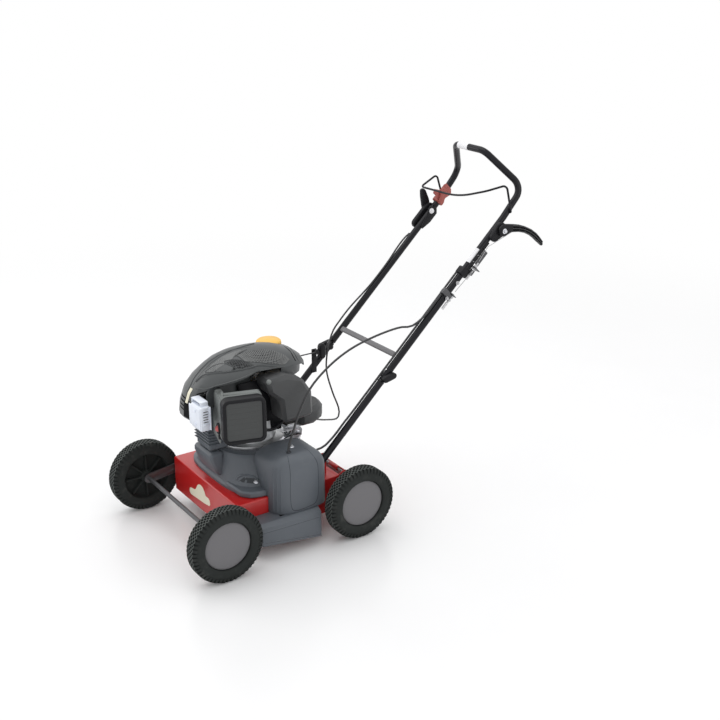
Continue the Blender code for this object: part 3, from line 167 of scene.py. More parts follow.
# The floor fades to plain white far from the machine, where only the camera sees it
floor_finish, floor_shader, floor_place = open_finish("studio_floor")
floor_place.noise(3.0).mix((0.93, 0.93, 0.935, 1), (0.96, 0.96, 0.965, 1)).into(floor_shader,
                                                                              "Base Color")
floor_shader.inputs["Roughness"].default_value = 0.26
floor_nodes = floor_finish.node_tree
glow = floor_nodes.nodes.new("ShaderNodeEmission")
seen = Tone(floor_nodes.nodes.new("ShaderNodeLightPath").outputs["Is Camera Ray"])
far = floor_place.reach().between(*FLOOR_FADE) * seen
blend = floor_nodes.nodes.new("ShaderNodeMixShader")
far.into(blend, 0)
Tone(floor_shader.outputs[0]).into(blend, 1)
Tone(glow.outputs[0]).into(blend, 2)
Tone(blend.outputs[0]).into(floor_nodes.nodes["Material Output"], "Surface")
floor_mesh = bpy.data.meshes.new("studio_floor")
ground = bmesh.new()
bmesh.ops.create_grid(ground, x_segments=2, y_segments=2, size=14.0)
bmesh.ops.translate(ground, vec=(0, 0, -0.0004), verts=ground.verts)
ground.to_mesh(floor_mesh)
ground.free()
floor_mesh.materials.append(floor_finish)
floor = placed("studio_floor", floor_mesh)

for name, place, power, size in (("lamp_over", (-0.6, -0.5, 3.0), 24.0, 2.4),
                                 ("lamp_left", (-2.6, -2.0, 1.6), 12.0, 1.6),
                                 ("lamp_right", (2.6, 1.4, 1.8), 8.0, 1.6)):
    light = bpy.data.lights.new(name, "AREA")
    light.energy = power
    light.size = size
    lamp = placed(name, light)
    lamp.location = place
    aim = Vector((0, -0.1, 0.4)) - Vector(place)
    lamp.rotation_euler = aim.to_track_quat("-Z", "Y").to_euler()


# Deck
# The housing of the blades, folded from 2.5 mm sheet steel, open below and behind, with welded
# ears for the handle and lugs for the axles and the flap's rod, and powder coated red.
RED = (0.5, 0.012, 0.012)
DECK_TOP = 0.15


def tint(colour, share=1.0):
    return (*[min(1.0, part * share) for part in colour], 1.0)


def coat(name, colour, roughness, metal=0.0, grain=900, relief=4e-5, cloud=0.12, gloss=0.0,
         dust=0.0, shine=0.5):
    """A finish that clouds a little over the piece, with a fine grain and some pale dust."""
    made, shader, place = open_finish(name)
    broad = place.noise(11.0, 3.0)
    fine = place.noise(grain)
    body = broad.mix(tint(colour, 1 - cloud), tint(colour, 1 + cloud))
    if dust:
        patch = (place.noise(60.0, 5.0) * 0.6 + broad * 0.4).between(0.52, 0.78) * dust
        body = patch.mix(body, (0.42, 0.4, 0.37, 1))
    body.into(shader, "Base Color")
    (broad * 0.16 + fine * 0.08 + (roughness - 0.12)).into(shader, "Roughness")
    fine.bump(relief).into(shader, "Normal")
    for socket, value in (("Metallic", metal), ("Specular IOR Level", shine),
                          ("Coat Weight", gloss), ("Coat Roughness", 0.12)):
        shader.inputs[socket].default_value = value
    return made


def finished(name, bm, finish, body, stands_for=(), smooth=32):
    """Makes a piece of a bmesh, which shades smooth up to an angle, and hands it to the frame."""
    mesh = bpy.data.meshes.new(name)
    bm.to_mesh(mesh)
    bm.free()
    for material in finish if isinstance(finish, tuple) else (finish,):
        mesh.materials.append(material)
    mesh.shade_smooth()
    mesh.set_sharp_from_angle(angle=radians(smooth))
    item = placed(name, mesh)
    if body:
        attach(item, body)
    if stands_for:
        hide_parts(*stands_for)
    return item


def broken(bm, width, segments=2, limit=40, chosen=None):
    """Rounds a bmesh's sharp edges, or only those that are chosen."""
    sharp = [edge for edge in bm.edges
             if edge.calc_face_angle(0) > radians(limit) and (chosen is None or chosen(edge))]
    bmesh.ops.bevel(bm, geom=sharp, offset=width, segments=segments, profile=0.5, affect="EDGES",
                    clamp_overlap=True, material=-1)
    return bm


def carried(node, width=0.0, segments=2, limit=40):
    """A node's solid as a bmesh, with its triangles joined to faces and its edges broken."""
    bm = bmesh.new()
    bm.from_mesh(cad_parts[node].data)
    bmesh.ops.remove_doubles(bm, verts=bm.verts, dist=1e-5)
    bmesh.ops.dissolve_limit(bm, angle_limit=radians(0.4), verts=bm.verts, edges=bm.edges)
    for face in bm.faces:
        face.material_index = 0
    return broken(bm, width, segments, limit) if width else bm


def packed(name, node, body, slot, width=0.0, segments=2, limit=40, smooth=32):
    """A piece with a node's own shape, its edges broken, in the finish that the slot names."""
    finished(name, carried(node, width, segments, limit), finishes[slot], body, [node],
             smooth)


def moved(bm, turns):
    """A bmesh, turned and moved by a matrix."""
    bmesh.ops.transform(bm, matrix=turns, verts=bm.verts)
    return bm


def add(bm, other, turns=None, finish=None):
    """Puts another bmesh into this one, turned and moved if a matrix is given."""
    if turns is not None:
        moved(other, turns)
    if finish is not None:
        for face in other.faces:
            face.material_index = finish
    scratch = bpy.data.meshes.new("scratch")
    other.to_mesh(scratch)
    other.free()
    bm.from_mesh(scratch)
    bpy.data.meshes.remove(scratch)
    return bm


def facing(place, way):
    """The matrix that turns +Z to a direction and moves the origin to a place."""
    turn = Vector((0, 0, 1)).rotation_difference(Vector(way)).to_matrix().to_4x4()
    return Matrix.Translation(place) @ turn


def lathe(profile, place=(0, 0, 0), way=(0, 0, 1), steps=48):
    """A profile of (radius, height) spun a full turn, then set up at a place, facing a way."""
    bm = bmesh.new()
    verts = [bm.verts.new((radius, 0, height)) for radius, height in profile]
    edges = [bm.edges.new(pair) for pair in zip(verts, verts[1:])]
    bmesh.ops.spin(bm, geom=verts + edges, cent=(0, 0, 0), axis=(0, 0, 1), angle=2 * pi,
                   steps=steps, use_merge=True, use_duplicate=False)
    bmesh.ops.remove_doubles(bm, verts=bm.verts, dist=2e-6)
    bmesh.ops.recalc_face_normals(bm, faces=bm.faces)
    return moved(bm, facing(place, way))


def hexagon(radius, height, width):
    """A hexagon head or nut about the origin, with its edges broken."""
    bm = bmesh.new()
    bmesh.ops.create_cone(bm, cap_ends=True, segments=6, radius1=radius, radius2=radius,
                          depth=height)
    return broken(bm, width, 1)


def screw(place, size, way=(1, 0, 0)):
    """A flange screw: a washer face and a hexagon head."""
    bm = lathe([(0, 0), (size * 1.55, 0), (size * 1.55, size * 0.22), (size * 1.3, size * 0.4),
                (0, size * 0.4)], steps=24)
    add(bm, hexagon(size * 1.05, size * 1.1, size * 0.12), Matrix.Translation((0, 0, size * 0.8)))
    return moved(bm, facing(place, way))


def slab(outline, axis, low, high, bevel=0.0, segments=3, limit=30):
    """An outline pushed along an axis, from low to high, with all its sharp edges rounded."""
    def spot(u, v, w):
        return {"X": (w, u, v), "Y": (u, w, v), "Z": (u, v, w)}[axis]
    bm = bmesh.new()
    base = bm.faces.new([bm.verts.new(spot(u, v, low)) for u, v in outline])
    grown = bmesh.ops.extrude_face_region(bm, geom=[base])["geom"]
    far_verts = [part for part in grown if isinstance(part, bmesh.types.BMVert)]
    bmesh.ops.translate(bm, verts=far_verts, vec=spot(0, 0, high - low))
    bmesh.ops.recalc_face_normals(bm, faces=bm.faces)
    return broken(bm, bevel, segments, limit) if bevel else bm


def brick(size, place=(0, 0, 0), bevel=0.0, segments=2, turn=None):
    """A block with rounded edges, turned about its middle and moved to its place."""
    bm = bmesh.new()
    bmesh.ops.create_cube(bm, size=1.0)
    bmesh.ops.scale(bm, vec=size, verts=bm.verts)
    if bevel:
        broken(bm, bevel, segments)
    return moved(bm, Matrix.Translation(place) @ (turn.to_4x4() if turn else Matrix.Identity(4)))


red_paint = coat("red_paint", RED, 0.34, grain=420, relief=3e-5, cloud=0.06, gloss=0.35, dust=0.05)
zinc_plate = coat("zinc_plate", (0.72, 0.73, 0.76), 0.32, metal=1.0, grain=1500, cloud=0.08)
bare_steel = coat("bare_steel", (0.48, 0.48, 0.49), 0.34, metal=1.0, grain=1300, cloud=0.15)
deck_low, deck_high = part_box("deck")


def deck_fold(edge):
    """True for the deck's outer folds: along its top, and up its two front corners."""
    ends = [vert.co for vert in edge.verts]
    on_top = all(abs(end.z - DECK_TOP) < 1e-4 for end in ends)
    at_front = all(abs(end.y - deck_low.y) < 1e-4 for end in ends)
    at_side = any(all(abs(end.x - x) < 1e-4 for end in ends) for x in (deck_low.x, deck_high.x))
    return (on_top and (at_front or at_side)) or (at_front and at_side)


deck = broken(carried("deck"), 0.0045, 4, 60, deck_fold)
finished("deck_pressing", deck, red_paint, "root", ["deck"])

# Front plate
# A bare pale plate of thin plastic film, stuck on the deck's front: an oblong that leans a
# little, with a round crown.
PLATE = [
    (-0.1085, 0.079), (-0.107, 0.0895), (-0.102, 0.094), (-0.075, 0.0985), (-0.0665, 0.106),
    (-0.06, 0.1165), (-0.05, 0.1245), (-0.038, 0.127), (-0.026, 0.1235), (-0.018, 0.115),
    (-0.012, 0.1055), (0.004, 0.1045), (0.011, 0.1), (0.013, 0.089), (0.008, 0.083),
    (-0.02, 0.079), (-0.101, 0.0735)]
label_cream = coat("label_cream", (0.8, 0.76, 0.6), 0.42, grain=600, relief=1e-5)
finished("front_plate", slab(PLATE, "Y", deck_low.y - 0.0005, deck_low.y, 0.0002, 1), label_cream,
         "root")

# Axles
# Steel rods. The bright rear one stands in the deck's lugs. The darker front one is welded to
# two flat arms that swing on pins in the deck's sides and set how deep the blades cut.
dark_steel = coat("dark_steel", (0.105, 0.105, 0.11), 0.4, metal=0.9, grain=1000, cloud=0.2)
packed("rear_axle_rod", "rear_axle", "root", "bare_steel", 0.0006, 1)
packed("front_axle_arms", "front_axle", "front_swing", "dark_steel", 0.0007)

# Wheels
# One black moulding makes tyre, rim and hub, with staggered tread blocks whose tops are worn
# pale. A plain grey cap snaps into the outer face, and five rows of blocks go round the tyre.
BLOCK_COUNT = 52
BLOCK_SIZE = (0.005, 0.0086, 0.005)
BLOCK_RADIUS = 0.0972
BLOCK_TOP = 0.0997
WORN_RADIUS = 0.0985
RIB_COUNT = 8
TYRE = [
    (0.0066, -0.02), (0.017, -0.02), (0.017, -0.003), (0.06, -0.003), (0.064, -0.006),
    (0.0655, -0.0185), (0.067, -0.0205), (0.0845, -0.021), (0.0865, -0.02), (0.092, -0.0178),
    (0.0952, -0.0145), (0.096, -0.008), (0.096, 0.008), (0.0952, 0.0145), (0.092, 0.0178),
    (0.0865, 0.02), (0.0845, 0.021), (0.069, 0.0207), (0.0668, 0.0195), (0.065, 0.018),
    (0.0642, 0.003), (0.0066, 0.003), (0.0066, -0.02)]
CAP = [(0.0637, 0.0034), (0.0637, 0.0122), (0.063, 0.0137), (0.0612, 0.0146), (0.056, 0.0155),
       (0.04, 0.0162), (0.02, 0.0164), (0.0, 0.0165)]
LUG = [(0.0136, 0.0945), (0.0136, 0.0994), (0.0165, 0.0988), (0.0192, 0.0962), (0.0206, 0.0922),
       (0.021, 0.0868), (0.0196, 0.0866), (0.0165, 0.0925)]


def round_set(bm, count, axis=(1, 0, 0)):
    """Repeats a bmesh round an axis, so many times in one full turn."""
    turn = 2 * pi * (count - 1) / count
    bmesh.ops.spin(bm, geom=bm.verts[:] + bm.edges[:] + bm.faces[:], cent=(0, 0, 0),
                   axis=axis, angle=turn, steps=count - 1, use_duplicate=True)
    return bm


def tread_block(x, back):
    """One block of a row, a little narrower at its top, and half a step back if asked."""
    bm = brick(BLOCK_SIZE, (x, 0, BLOCK_RADIUS))
    for vert in bm.verts:
        if vert.co.z > BLOCK_RADIUS:
            vert.co = Vector((x + (vert.co.x - x) * 0.84, vert.co.y * 0.86, BLOCK_TOP))
    turn = Matrix.Rotation(back * pi / BLOCK_COUNT, 3, "X")
    bmesh.ops.rotate(bm, cent=(0, 0, 0), matrix=turn, verts=bm.verts)
    return bm


def tyre_mesh():
    """A wheel at the origin, facing +X."""
    tread = tread_block(0.0, 0)
    for x, back in ((-0.006, 1), (0.006, 1), (-0.0115, 0), (0.0115, 0)):
        add(tread, tread_block(x, back))
    for side in (-1, 1):
        lug = slab([(side * x, radius) for x, radius in LUG], "Y", -0.0033, 0.0033)
        add(tread, lug, Matrix.Rotation(pi / BLOCK_COUNT, 4, "X"))
    round_set(tread, BLOCK_COUNT)
    bm = lathe(TYRE, way=(1, 0, 0), steps=96)
    rib = brick((0.0135, 0.0032, 0.044), (-0.0098, 0, 0.0395))
    add(bm, round_set(rib, RIB_COUNT))
    add(bm, tread)
    for face in bm.faces:
        middle = face.calc_center_median()
        if hypot(middle.y, middle.z) > WORN_RADIUS:
            face.material_index = 1
    return bm


tyre_black = coat("tyre_black", (0.024, 0.027, 0.026), 0.74, grain=700, relief=8e-5,
                  cloud=0.25, dust=0.08, shine=0.15)
tyre_worn = coat("tyre_worn", (0.08, 0.088, 0.084), 0.8, relief=6e-5, cloud=0.3,
                 dust=0.2, shine=0.2)
hubcap_grey = coat("hubcap_grey", (0.15, 0.147, 0.155), 0.52, grain=1200, relief=5e-5, cloud=0.05)
for corner in ("front_near", "front_far", "rear_near", "rear_far"):
    low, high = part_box("wheel_" + corner)
    mirror = Matrix.Scale(-1 if corner.endswith("far") else 1, 4, (1, 0, 0))
    for name, bm, finish, slot in (
            ("wheel_", tyre_mesh(), (tyre_black, tyre_worn), "tyre_black"),
            ("hubcap_", lathe(CAP, way=(1, 0, 0), steps=72), hubcap_grey, "hubcap_grey")):
        moved(bm, Matrix.Translation((low + high) / 2) @ mirror)
        if corner.endswith("far"):
            bmesh.ops.reverse_faces(bm, faces=bm.faces)
        finished(name + corner + "_moulding", bm, finish, "wheel_" + corner, [name + corner])

# Blade rotor
# Fourteen hooked blades and their spacers on one steel shaft, painted dark red, with the paint
# worn off at the hooks' tips. Two flange bearings in the deck's sides carry it.
rotor_low, rotor_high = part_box("blade_rotor")
rotor_middle = (rotor_low + rotor_high) / 2
blade_shader, blade_place = open_finish("blade_red")[1:]
blade_offset = blade_place.node("ShaderNodeMapping", {}, {"Vector": blade_place, "Location":
                                (0, -rotor_middle.y, -rotor_middle.z), "Scale": (0, 1, 1)})
blade_wear = blade_offset.reach() * 20.0 + blade_place.noise(120.0, 4.0) * 0.5
blade_bare = blade_wear.between(1.42, 1.58)
blade_bare.mix((0.155, 0.018, 0.014, 1), (0.36, 0.34, 0.33, 1)).into(blade_shader, "Base Color")
blade_bare.into(blade_shader, "Metallic")
(blade_place.noise(300.0) * 0.25 + 0.35).into(blade_shader, "Roughness")
blade_place.noise(700.0).bump(0.00006).into(blade_shader, "Normal")
cast_alloy = coat("cast_alloy", (0.56, 0.57, 0.58), 0.42, metal=1.0, grain=650, relief=0.00012,
                  cloud=0.16)
packed("blade_stack", "blade_rotor", "rotor", "blade_red", 0.0005, 1, 50, 25)
for end in ("far", "near"):
    packed("bearing_" + end, "rotor_bearing_" + end, "root", "cast_alloy", 0.0005)
packed("pulley_rotor", "rotor_pulley", "rotor", "dark_steel", 0.0004)

# Belt drive
# The crankshaft's pulley, a belt that turns a quarter over two idlers down to the rotor, and the
# steel arm that lifts the idlers against the belt when the bail is squeezed.
cable_black = coat("cable_black", (0.024, 0.024, 0.026), 0.42, grain=1400, relief=3e-5)
packed("crank_rod", "crankshaft", "crank", "bare_steel", 0.0005)
packed("pulley_engine", "engine_pulley", "crank", "dark_steel", 0.0005)
packed("flywheel_disc", "flywheel", "crank", "cast_alloy", 0.0005)
packed("tension_link", "tension_arm", "tension_arm", "dark_steel", 0.0005)
for end in ("front", "rear"):
    packed("idler_roller_" + end, "idler_" + end, "idler_" + end, "dark_steel", 0.0005)
packed("belt_loop", "drive_belt", "root", "cable_black", smooth=60)

# Grey covers
# Three mouldings of grey plastic with a fine grain: the bell under the engine, the guard over
# the belt, and the skirt beside the rotor's pulley. Hexagon screws hold the first two down.
GUARD_PANEL = [
    (0.1737, -0.2138, 0.2659), (0.1958, -0.2111, 0.2624), (0.2053, -0.2039, 0.2501),
    (0.2064, -0.1953, 0.2305), (0.2063, -0.1928, 0.2098), (0.2062, -0.1927, 0.1515),
    (0.2067, -0.2013, 0.12), (0.207, -0.2271, 0.1125), (0.207, -0.26, 0.112),
    (0.2064, -0.2748, 0.1231), (0.2056, -0.278, 0.1615), (0.2059, -0.277, 0.2187),
    (0.2024, -0.2782, 0.25), (0.19, -0.2745, 0.264)]
GUARD_CORNER = (0.15, -0.27225, 0.057, 0.05)
CAST_FROM = 0.05
SKIRT_RIDGES = (
    ((0.225, -0.372, 0.0885), (0.225, -0.3, 0.0865), (0.225, -0.198, 0.085)),
    ((0.225, -0.366, 0.059), (0.225, -0.3, 0.048), (0.225, -0.198, 0.033)))
BELL_RIDGE = [
    (0.082, -0.367, 0.1792), (0.0855, -0.3618, 0.1889), (0.0966, -0.3499, 0.1944),
    (0.1105, -0.3339, 0.1913), (0.122, -0.325, 0.183)]
# Corners of the painted shadow in the bell's sunk pocket under the ear's arch.
BELL_POCKET_SHADE = (
    (0.09, -0.367, 0.177), (0.095, -0.352, 0.1885), (0.117, -0.33, 0.187), (0.123, -0.332, 0.175))


def eased(points, spacing):
    """Places at about even steps on a smooth curve through a few points."""
    knots = [Vector(point) for point in points]
    knots = [2 * knots[0] - knots[1]] + knots + [2 * knots[-1] - knots[-2]]
    curve = [knots[1]]
    for a, b, c, d in zip(knots, knots[1:], knots[2:], knots[3:]):
        count = max(1, round((c - b).length / spacing))
        for k in range(1, count + 1):
            t = k / count
            curve.append(0.5 * (2 * b + (c - a) * t + (2 * a - 5 * b + 4 * c - d) * t * t
                                + (3 * b - a - 3 * c + d) * t ** 3))
    return curve


def skin_of(node, heart):
    """A node's surface, with a point inside it that places on it are cast towards."""
    bm = carried(node)
    tree = BVHTree.FromBMesh(bm)
    bm.free()
    return tree, Vector(heart)


def laid(skin, place, rise, along, across):
    """A sheet of squares on a piece's surface: place(u, v) is cast on it, then raised."""
    tree, heart = skin
    bm = bmesh.new()
    bmesh.ops.create_grid(bm, x_segments=along, y_segments=across, size=1.0)
    for vert in bm.verts:
        u, v = (vert.co.x + 1) / 2, (vert.co.y + 1) / 2
        point = place(u, v)
        out = (point - heart).normalized()
        hit, normal = tree.ray_cast(point + out * CAST_FROM, -out)[:2]
        vert.co = (hit or point) + (normal or out) * rise(u, v)
    bm.normal_update()
    if sum(face.normal.dot(face.calc_center_median() - heart) for face in bm.faces) < 0:
        bmesh.ops.reverse_faces(bm, faces=bm.faces)
    return bm


def bead(skin, points, half, height, spacing=0.003, sunk=0.0002):
    """A rounded line moulded on a surface, through points that are cast on it."""
    curve = eased(points, spacing)
    last = len(curve) - 1

    def place(u, v):
        k = round(u * last)
        along = curve[min(k + 1, last)] - curve[max(k - 1, 0)]
        side = along.cross(curve[k] - skin[1]).normalized()
        return curve[k] + side * (2 * v - 1) * half

    return laid(skin, place, lambda u, v: height * (1 - (2 * v - 1) ** 2) - sunk, last, 4)


def patch(skin, corners, lift, along, across):
    """A sheet between four corners, laid on a surface, a little above it."""
    a, b, c, d = (Vector(corner) for corner in corners)
    return laid(skin, lambda u, v: a.lerp(b, u).lerp(d.lerp(c, u), v), lambda u, v: lift, along,
                across)


grey_plastic = coat("grey_plastic", (0.1, 0.113, 0.13), 0.5, grain=1500, relief=7e-5,
                    cloud=0.07, dust=0.04)
# A dark grey that paints shade: the shadow in the bell's sunk pocket, the shade of the guard
# panel's seam and the shadow under the skirt's ridges. The collar at the guard's other screw hole
# is in it too.
groove_shade_grey = coat("groove_shade_grey", (0.026, 0.03, 0.036), 0.6, grain=1500)
cover_finish = (grey_plastic, groove_shade_grey)
bell_skin = skin_of("engine_bell", (-0.025, -0.266, 0.15))
bell = carried("engine_bell", 0.0012, limit=30)
add(bell, bead(bell_skin, BELL_RIDGE, 0.003, 0.0028, 0.002))
# The dark patch is the painted shadow in the sunk pocket under the ear's arch.
add(bell, patch(bell_skin, BELL_POCKET_SHADE, 0.0003, 8, 4), finish=1)
finished("bell_moulding", bell, cover_finish, "root", ["engine_bell"], 40)
finished("ear_screw", screw((0.1205, -0.33, 0.179), 0.0044, (0.35, -0.25, 1)), zinc_plate, "root")

guard_skin = skin_of("belt_guard", (0.15, -0.2425, 0.185))
guard = carried("belt_guard", 0.001)
middle_x, middle_y, wide, deep = GUARD_CORNER
for turn in (32, 44, 55):
    x = middle_x + wide * sin(radians(turn))
    y = middle_y - deep * cos(radians(turn))
    add(guard, bead(guard_skin, [(x, y, 0.112), (x, y, 0.18), (x - 0.001, y + 0.001, 0.236)],
                    0.0016, 0.0014))
# A dark line round the guard's panel is the painted shade of its seam.
add(guard, bead(guard_skin, GUARD_PANEL, 0.0009, 0.0004, 0.002), finish=1)
add(guard, lathe([(0.0062, -0.001), (0.0062, 0.003), (0.005, 0.0044), (0.0036, 0.0046),
                  (0.0034, -0.001)], (0.178, -0.26375, 0.2672)), finish=1)
finished("guard_moulding", guard, cover_finish, "root", ["belt_guard"], 40)

skirt_skin = skin_of("side_skirt", (0.15, -0.285, 0.065))
skirt = carried("side_skirt", 0.0012, limit=30)
for ridge in SKIRT_RIDGES:
    add(skirt, bead(skirt_skin, ridge, 0.0016, 0.001, 0.008, 0.0))
    # A dark line just under each ridge is its painted shadow.
    add(skirt, bead(skirt_skin, [(x, y, z - 0.0024) for x, y, z in ridge], 0.0008, 0.0003, 0.008),
        finish=1)
finished("skirt_moulding", skirt, cover_finish, "root", ["side_skirt"])
finished("guard_screw", screw((0.1521, -0.2392, 0.2676), 0.0042, (0, 0, 1)), zinc_plate, "root")

# Rear flap
# A flap of folded sheet steel, painted red, that hangs behind the blades on a steel rod
# between the deck's lugs.
packed("flap_plate", "rear_flap", "rear_flap", "red_paint", 0.0007)
packed("flap_pin", "flap_rod", "root", "bare_steel", 0.0004, 1)

# Engine block
# An upright engine cast in aluminium: the barrel with its grey-painted fins at the front, the head
# with its plug, a bright plated muffler, and the governor's rods on the near side.
BARREL = (-0.0255, -0.3665, 0.0785, 0.0805)
FIN_COUNT = 6
FIN_STEP = 0.0085
HEAD_FIN_STEP = 0.0135
FINS_BEHIND = -0.345
FINS_ABOVE = 0.25
VENT_COUNT = 5
VENT_STEP = 0.007
MUFFLER_PARTS = (
    ((0.06, 0.003, 0.056), (0.05, -0.462, 0.372), 0.0013),
    ((0.003, 0.0034, 0.064), (0.084, -0.4352, 0.372), 0.001),
    ((0.0026, 0.02, 0.005), (0.0836, -0.447, 0.356), 0.001),
    ((0.05, 0.022, 0.0026), (0.05, -0.447, 0.415), 0.0008),
    ((0.0026, 0.022, 0.012), (0.074, -0.447, 0.4095), 0.0008),
    ((0.0026, 0.022, 0.012), (0.027, -0.447, 0.4095), 0.0008))
GOVERNOR_BASE = [
    (0.06, -0.262), (0.0655, -0.24), (0.076, -0.215), (0.079, -0.19), (0.074, -0.168),
    (0.06, -0.158), (0.036, -0.165), (0.036, -0.25)]
GOVERNOR_GUARD = [
    (-0.216, 0.26), (-0.178, 0.25), (-0.16, 0.252), (-0.158, 0.27), (-0.168, 0.284),
    (-0.19, 0.292), (-0.214, 0.286)]
GOVERNOR_ROD = [
    (0.085, -0.248, 0.296), (0.086, -0.226, 0.283), (0.083, -0.19, 0.28), (0.078, -0.17, 0.274)]
GOVERNOR_LINK = [(0.078, -0.218, 0.258), (0.08, -0.195, 0.264), (0.078, -0.166, 0.26)]
BREATHER_HOSE = [
    (0.079, -0.275, 0.299), (0.085, -0.266, 0.2975), (0.085, -0.249, 0.299),
    (0.085, -0.2336, 0.3066), (0.083, -0.217, 0.32)]
DARK_PARTS = (
    ((0.014, 0.05, 0.09), (0.042, -0.256, 0.35), 0.003),
    ((0.006, 0.1, 0.09), (0.048, -0.285, 0.385), 0.002),
    ((0.012, 0.034, 0.062), (0.03, -0.217, 0.298), 0.002))


def tube(path, radius, sides=24):
    """A round bar along a path, with flat ends."""
    path = [Vector(point) for point in path]
    runs = [(after - before).normalized() for before, after in zip(path, path[1:])]
    ways = [runs[0]] + [(a + b).normalized() for a, b in zip(runs, runs[1:])] + [runs[-1]]
    bm = bmesh.new()
    bmesh.ops.create_circle(bm, cap_ends=True, segments=sides, radius=radius)
    moved(bm, facing(path[0], ways[0]))
    rim = bm.edges[:]
    for before, place, way, turned in zip(path, path[1:], ways, ways[1:]):
        grown = bmesh.ops.extrude_edge_only(bm, edges=rim)["geom"]
        verts = [part for part in grown if isinstance(part, bmesh.types.BMVert)]
        rim = [part for part in grown if isinstance(part, bmesh.types.BMEdge)
               and all(end in verts for end in part.verts)]
        turn = way.rotation_difference(turned).to_matrix()
        bmesh.ops.rotate(bm, cent=before, matrix=turn, verts=verts)
        bmesh.ops.translate(bm, vec=place - before, verts=verts)
    bmesh.ops.holes_fill(bm, edges=rim, sides=sides)
    bmesh.ops.recalc_face_normals(bm, faces=bm.faces)
    return bm


def coil(start, end, radius, wire, turns):
    """A wire spring round the line between two points."""
    start, end = Vector(start), Vector(end)
    way = end - start
    turn = facing(start, way)
    steps = turns * 12
    path = [turn @ Vector((radius * cos(2 * pi * k / 12), radius * sin(2 * pi * k / 12),
                           way.length * k / steps)) for k in range(steps + 1)]
    return tube(path, wire, 6)


muffler_zinc = coat("muffler_zinc", (0.8, 0.84, 0.92), 0.48, metal=0.25, grain=1500, cloud=0.08)
block = carried("engine_block", 0.001)
x, y, wide, deep = BARREL
for k in range(FIN_COUNT):
    place = (x, y - 0.003, 0.262 + k * FIN_STEP)
    add(block, brick((wide + 0.006, deep, 0.0022), place, 0.0007, 1))
for face in block.faces:
    middle = face.calc_center_median()
    if middle.y < FINS_BEHIND and middle.z > FINS_ABOVE:
        face.material_index = 1
finished("block_casting", block, (cast_alloy, grey_plastic), "root",
         ["engine_block"])
head = carried("cylinder_head", 0.0006)
for k in range(FIN_COUNT):
    add(head, brick((0.0022, 0.02, 0.056), (-0.064 + k * HEAD_FIN_STEP, -0.43, 0.356), 0.0006, 1))
finished("head_casting", head, cast_alloy, "root", ["cylinder_head"])
packed("plug", "spark_plug", "root", "zinc_plate", 0.0005)

muffler = carried("muffler", 0.003, 3)
for size, place, bevel in MUFFLER_PARTS:
    add(muffler, brick(size, place, bevel))
for k in range(VENT_COUNT):
    add(muffler, brick((0.001, 0.014, 0.0022), (0.0832, -0.448, 0.364 + k * VENT_STEP), 0.0004, 1),
        finish=1)
for high in (0.39, 0.354):
    add(muffler, screw((0.056, -0.4634, high), 0.003, (0, -1, 0)))
finished("muffler_box", muffler, (muffler_zinc, dark_steel), "root", ["muffler"])
packed("carburettor_body", "carburettor", "root", "cast_alloy", 0.0008)

governor = slab(GOVERNOR_BASE, "Z", 0.2403, 0.2475, 0.0016, 2)
add(governor, brick((0.036, 0.044, 0.0018), (0.056, -0.188, 0.265), 0.0006, 1))
add(governor, slab(GOVERNOR_GUARD, "X", 0.0715, 0.0735, 0.0006, 1))
for reach in (0.01, 0.0052):
    add(governor, lathe([(reach - 0.0014, 0), (reach - 0.0014, 0.0028), (reach, 0.0028),
                         (reach, 0)], (0.0735, -0.205, 0.2745), (1, 0, 0), 24), finish=1)
add(governor, coil((0.078, -0.22, 0.286), (0.077, -0.174, 0.27), 0.0034, 0.0007, 9))
add(governor, tube(GOVERNOR_ROD, 0.0014, 8))
add(governor, tube(GOVERNOR_LINK, 0.0016, 8), finish=1)
add(governor, tube(eased(BREATHER_HOSE, 0.004), 0.0042, 14), finish=1)
for place in ((0.0735, -0.205, 0.2745), (0.0735, -0.172, 0.264)):
    add(governor, screw(place, 0.0034))
for size, place, bevel in DARK_PARTS:
    add(governor, brick(size, place, bevel), finish=1)
black_plastic = coat("black_plastic", (0.012, 0.012, 0.014), 0.4, grain=1300, relief=5e-5,
                     shine=0.18)
finished("governor_gear", governor, (zinc_plate, black_plastic), "root")

# Air filter
# A grey base on the carburettor, and a black snap-on cover with a sunk, ribbed face. The
# primer's red bulb sits in a black ring in the base's front, over a rubber plug.
FILTER_FACE = (0.1655, -0.38075, 0.379)
FILTER_TURN = -15.7
COVER_HALF = (0.056, 0.061)
COVER_CORNER = 0.018
COVER_DEPTH = 0.031
COVER_RIBS = 6
COVER_RIB_STEP = 0.0148
BASE_EDGE = 0.004
BASE_DROP = 0.011
FILTER_ELBOW = [
    (-0.142, -0.08), (-0.064, -0.08), (-0.064, -0.0575), (-0.102, -0.0575), (-0.102, 0.046),
    (-0.142, 0.04)]
PRIMER_RING = [
    (0.0112, -0.001), (0.0112, 0.004), (0.0122, 0.0052), (0.014, 0.005), (0.0148, 0.0036),
    (0.0148, -0.001)]
PRIMER_PLUG = [(0, 0.0035), (0.0052, 0.0035), (0.007, 0.0022), (0.0078, 0.0), (0.0078, -0.001)]


def rounded_oblong(half_y, half_z, radius, steps=6):
    """Outline of an upright oblong with round corners, about its own middle."""
    outline = []
    for corner, (side, rise) in enumerate(((1, 1), (-1, 1), (-1, -1), (1, -1))):
        for k in range(steps + 1):
            turn = pi / 2 * (corner + k / steps)
            outline.append((side * (half_y - radius) + radius * cos(turn),
                            rise * (half_z - radius) + radius * sin(turn)))
    return outline


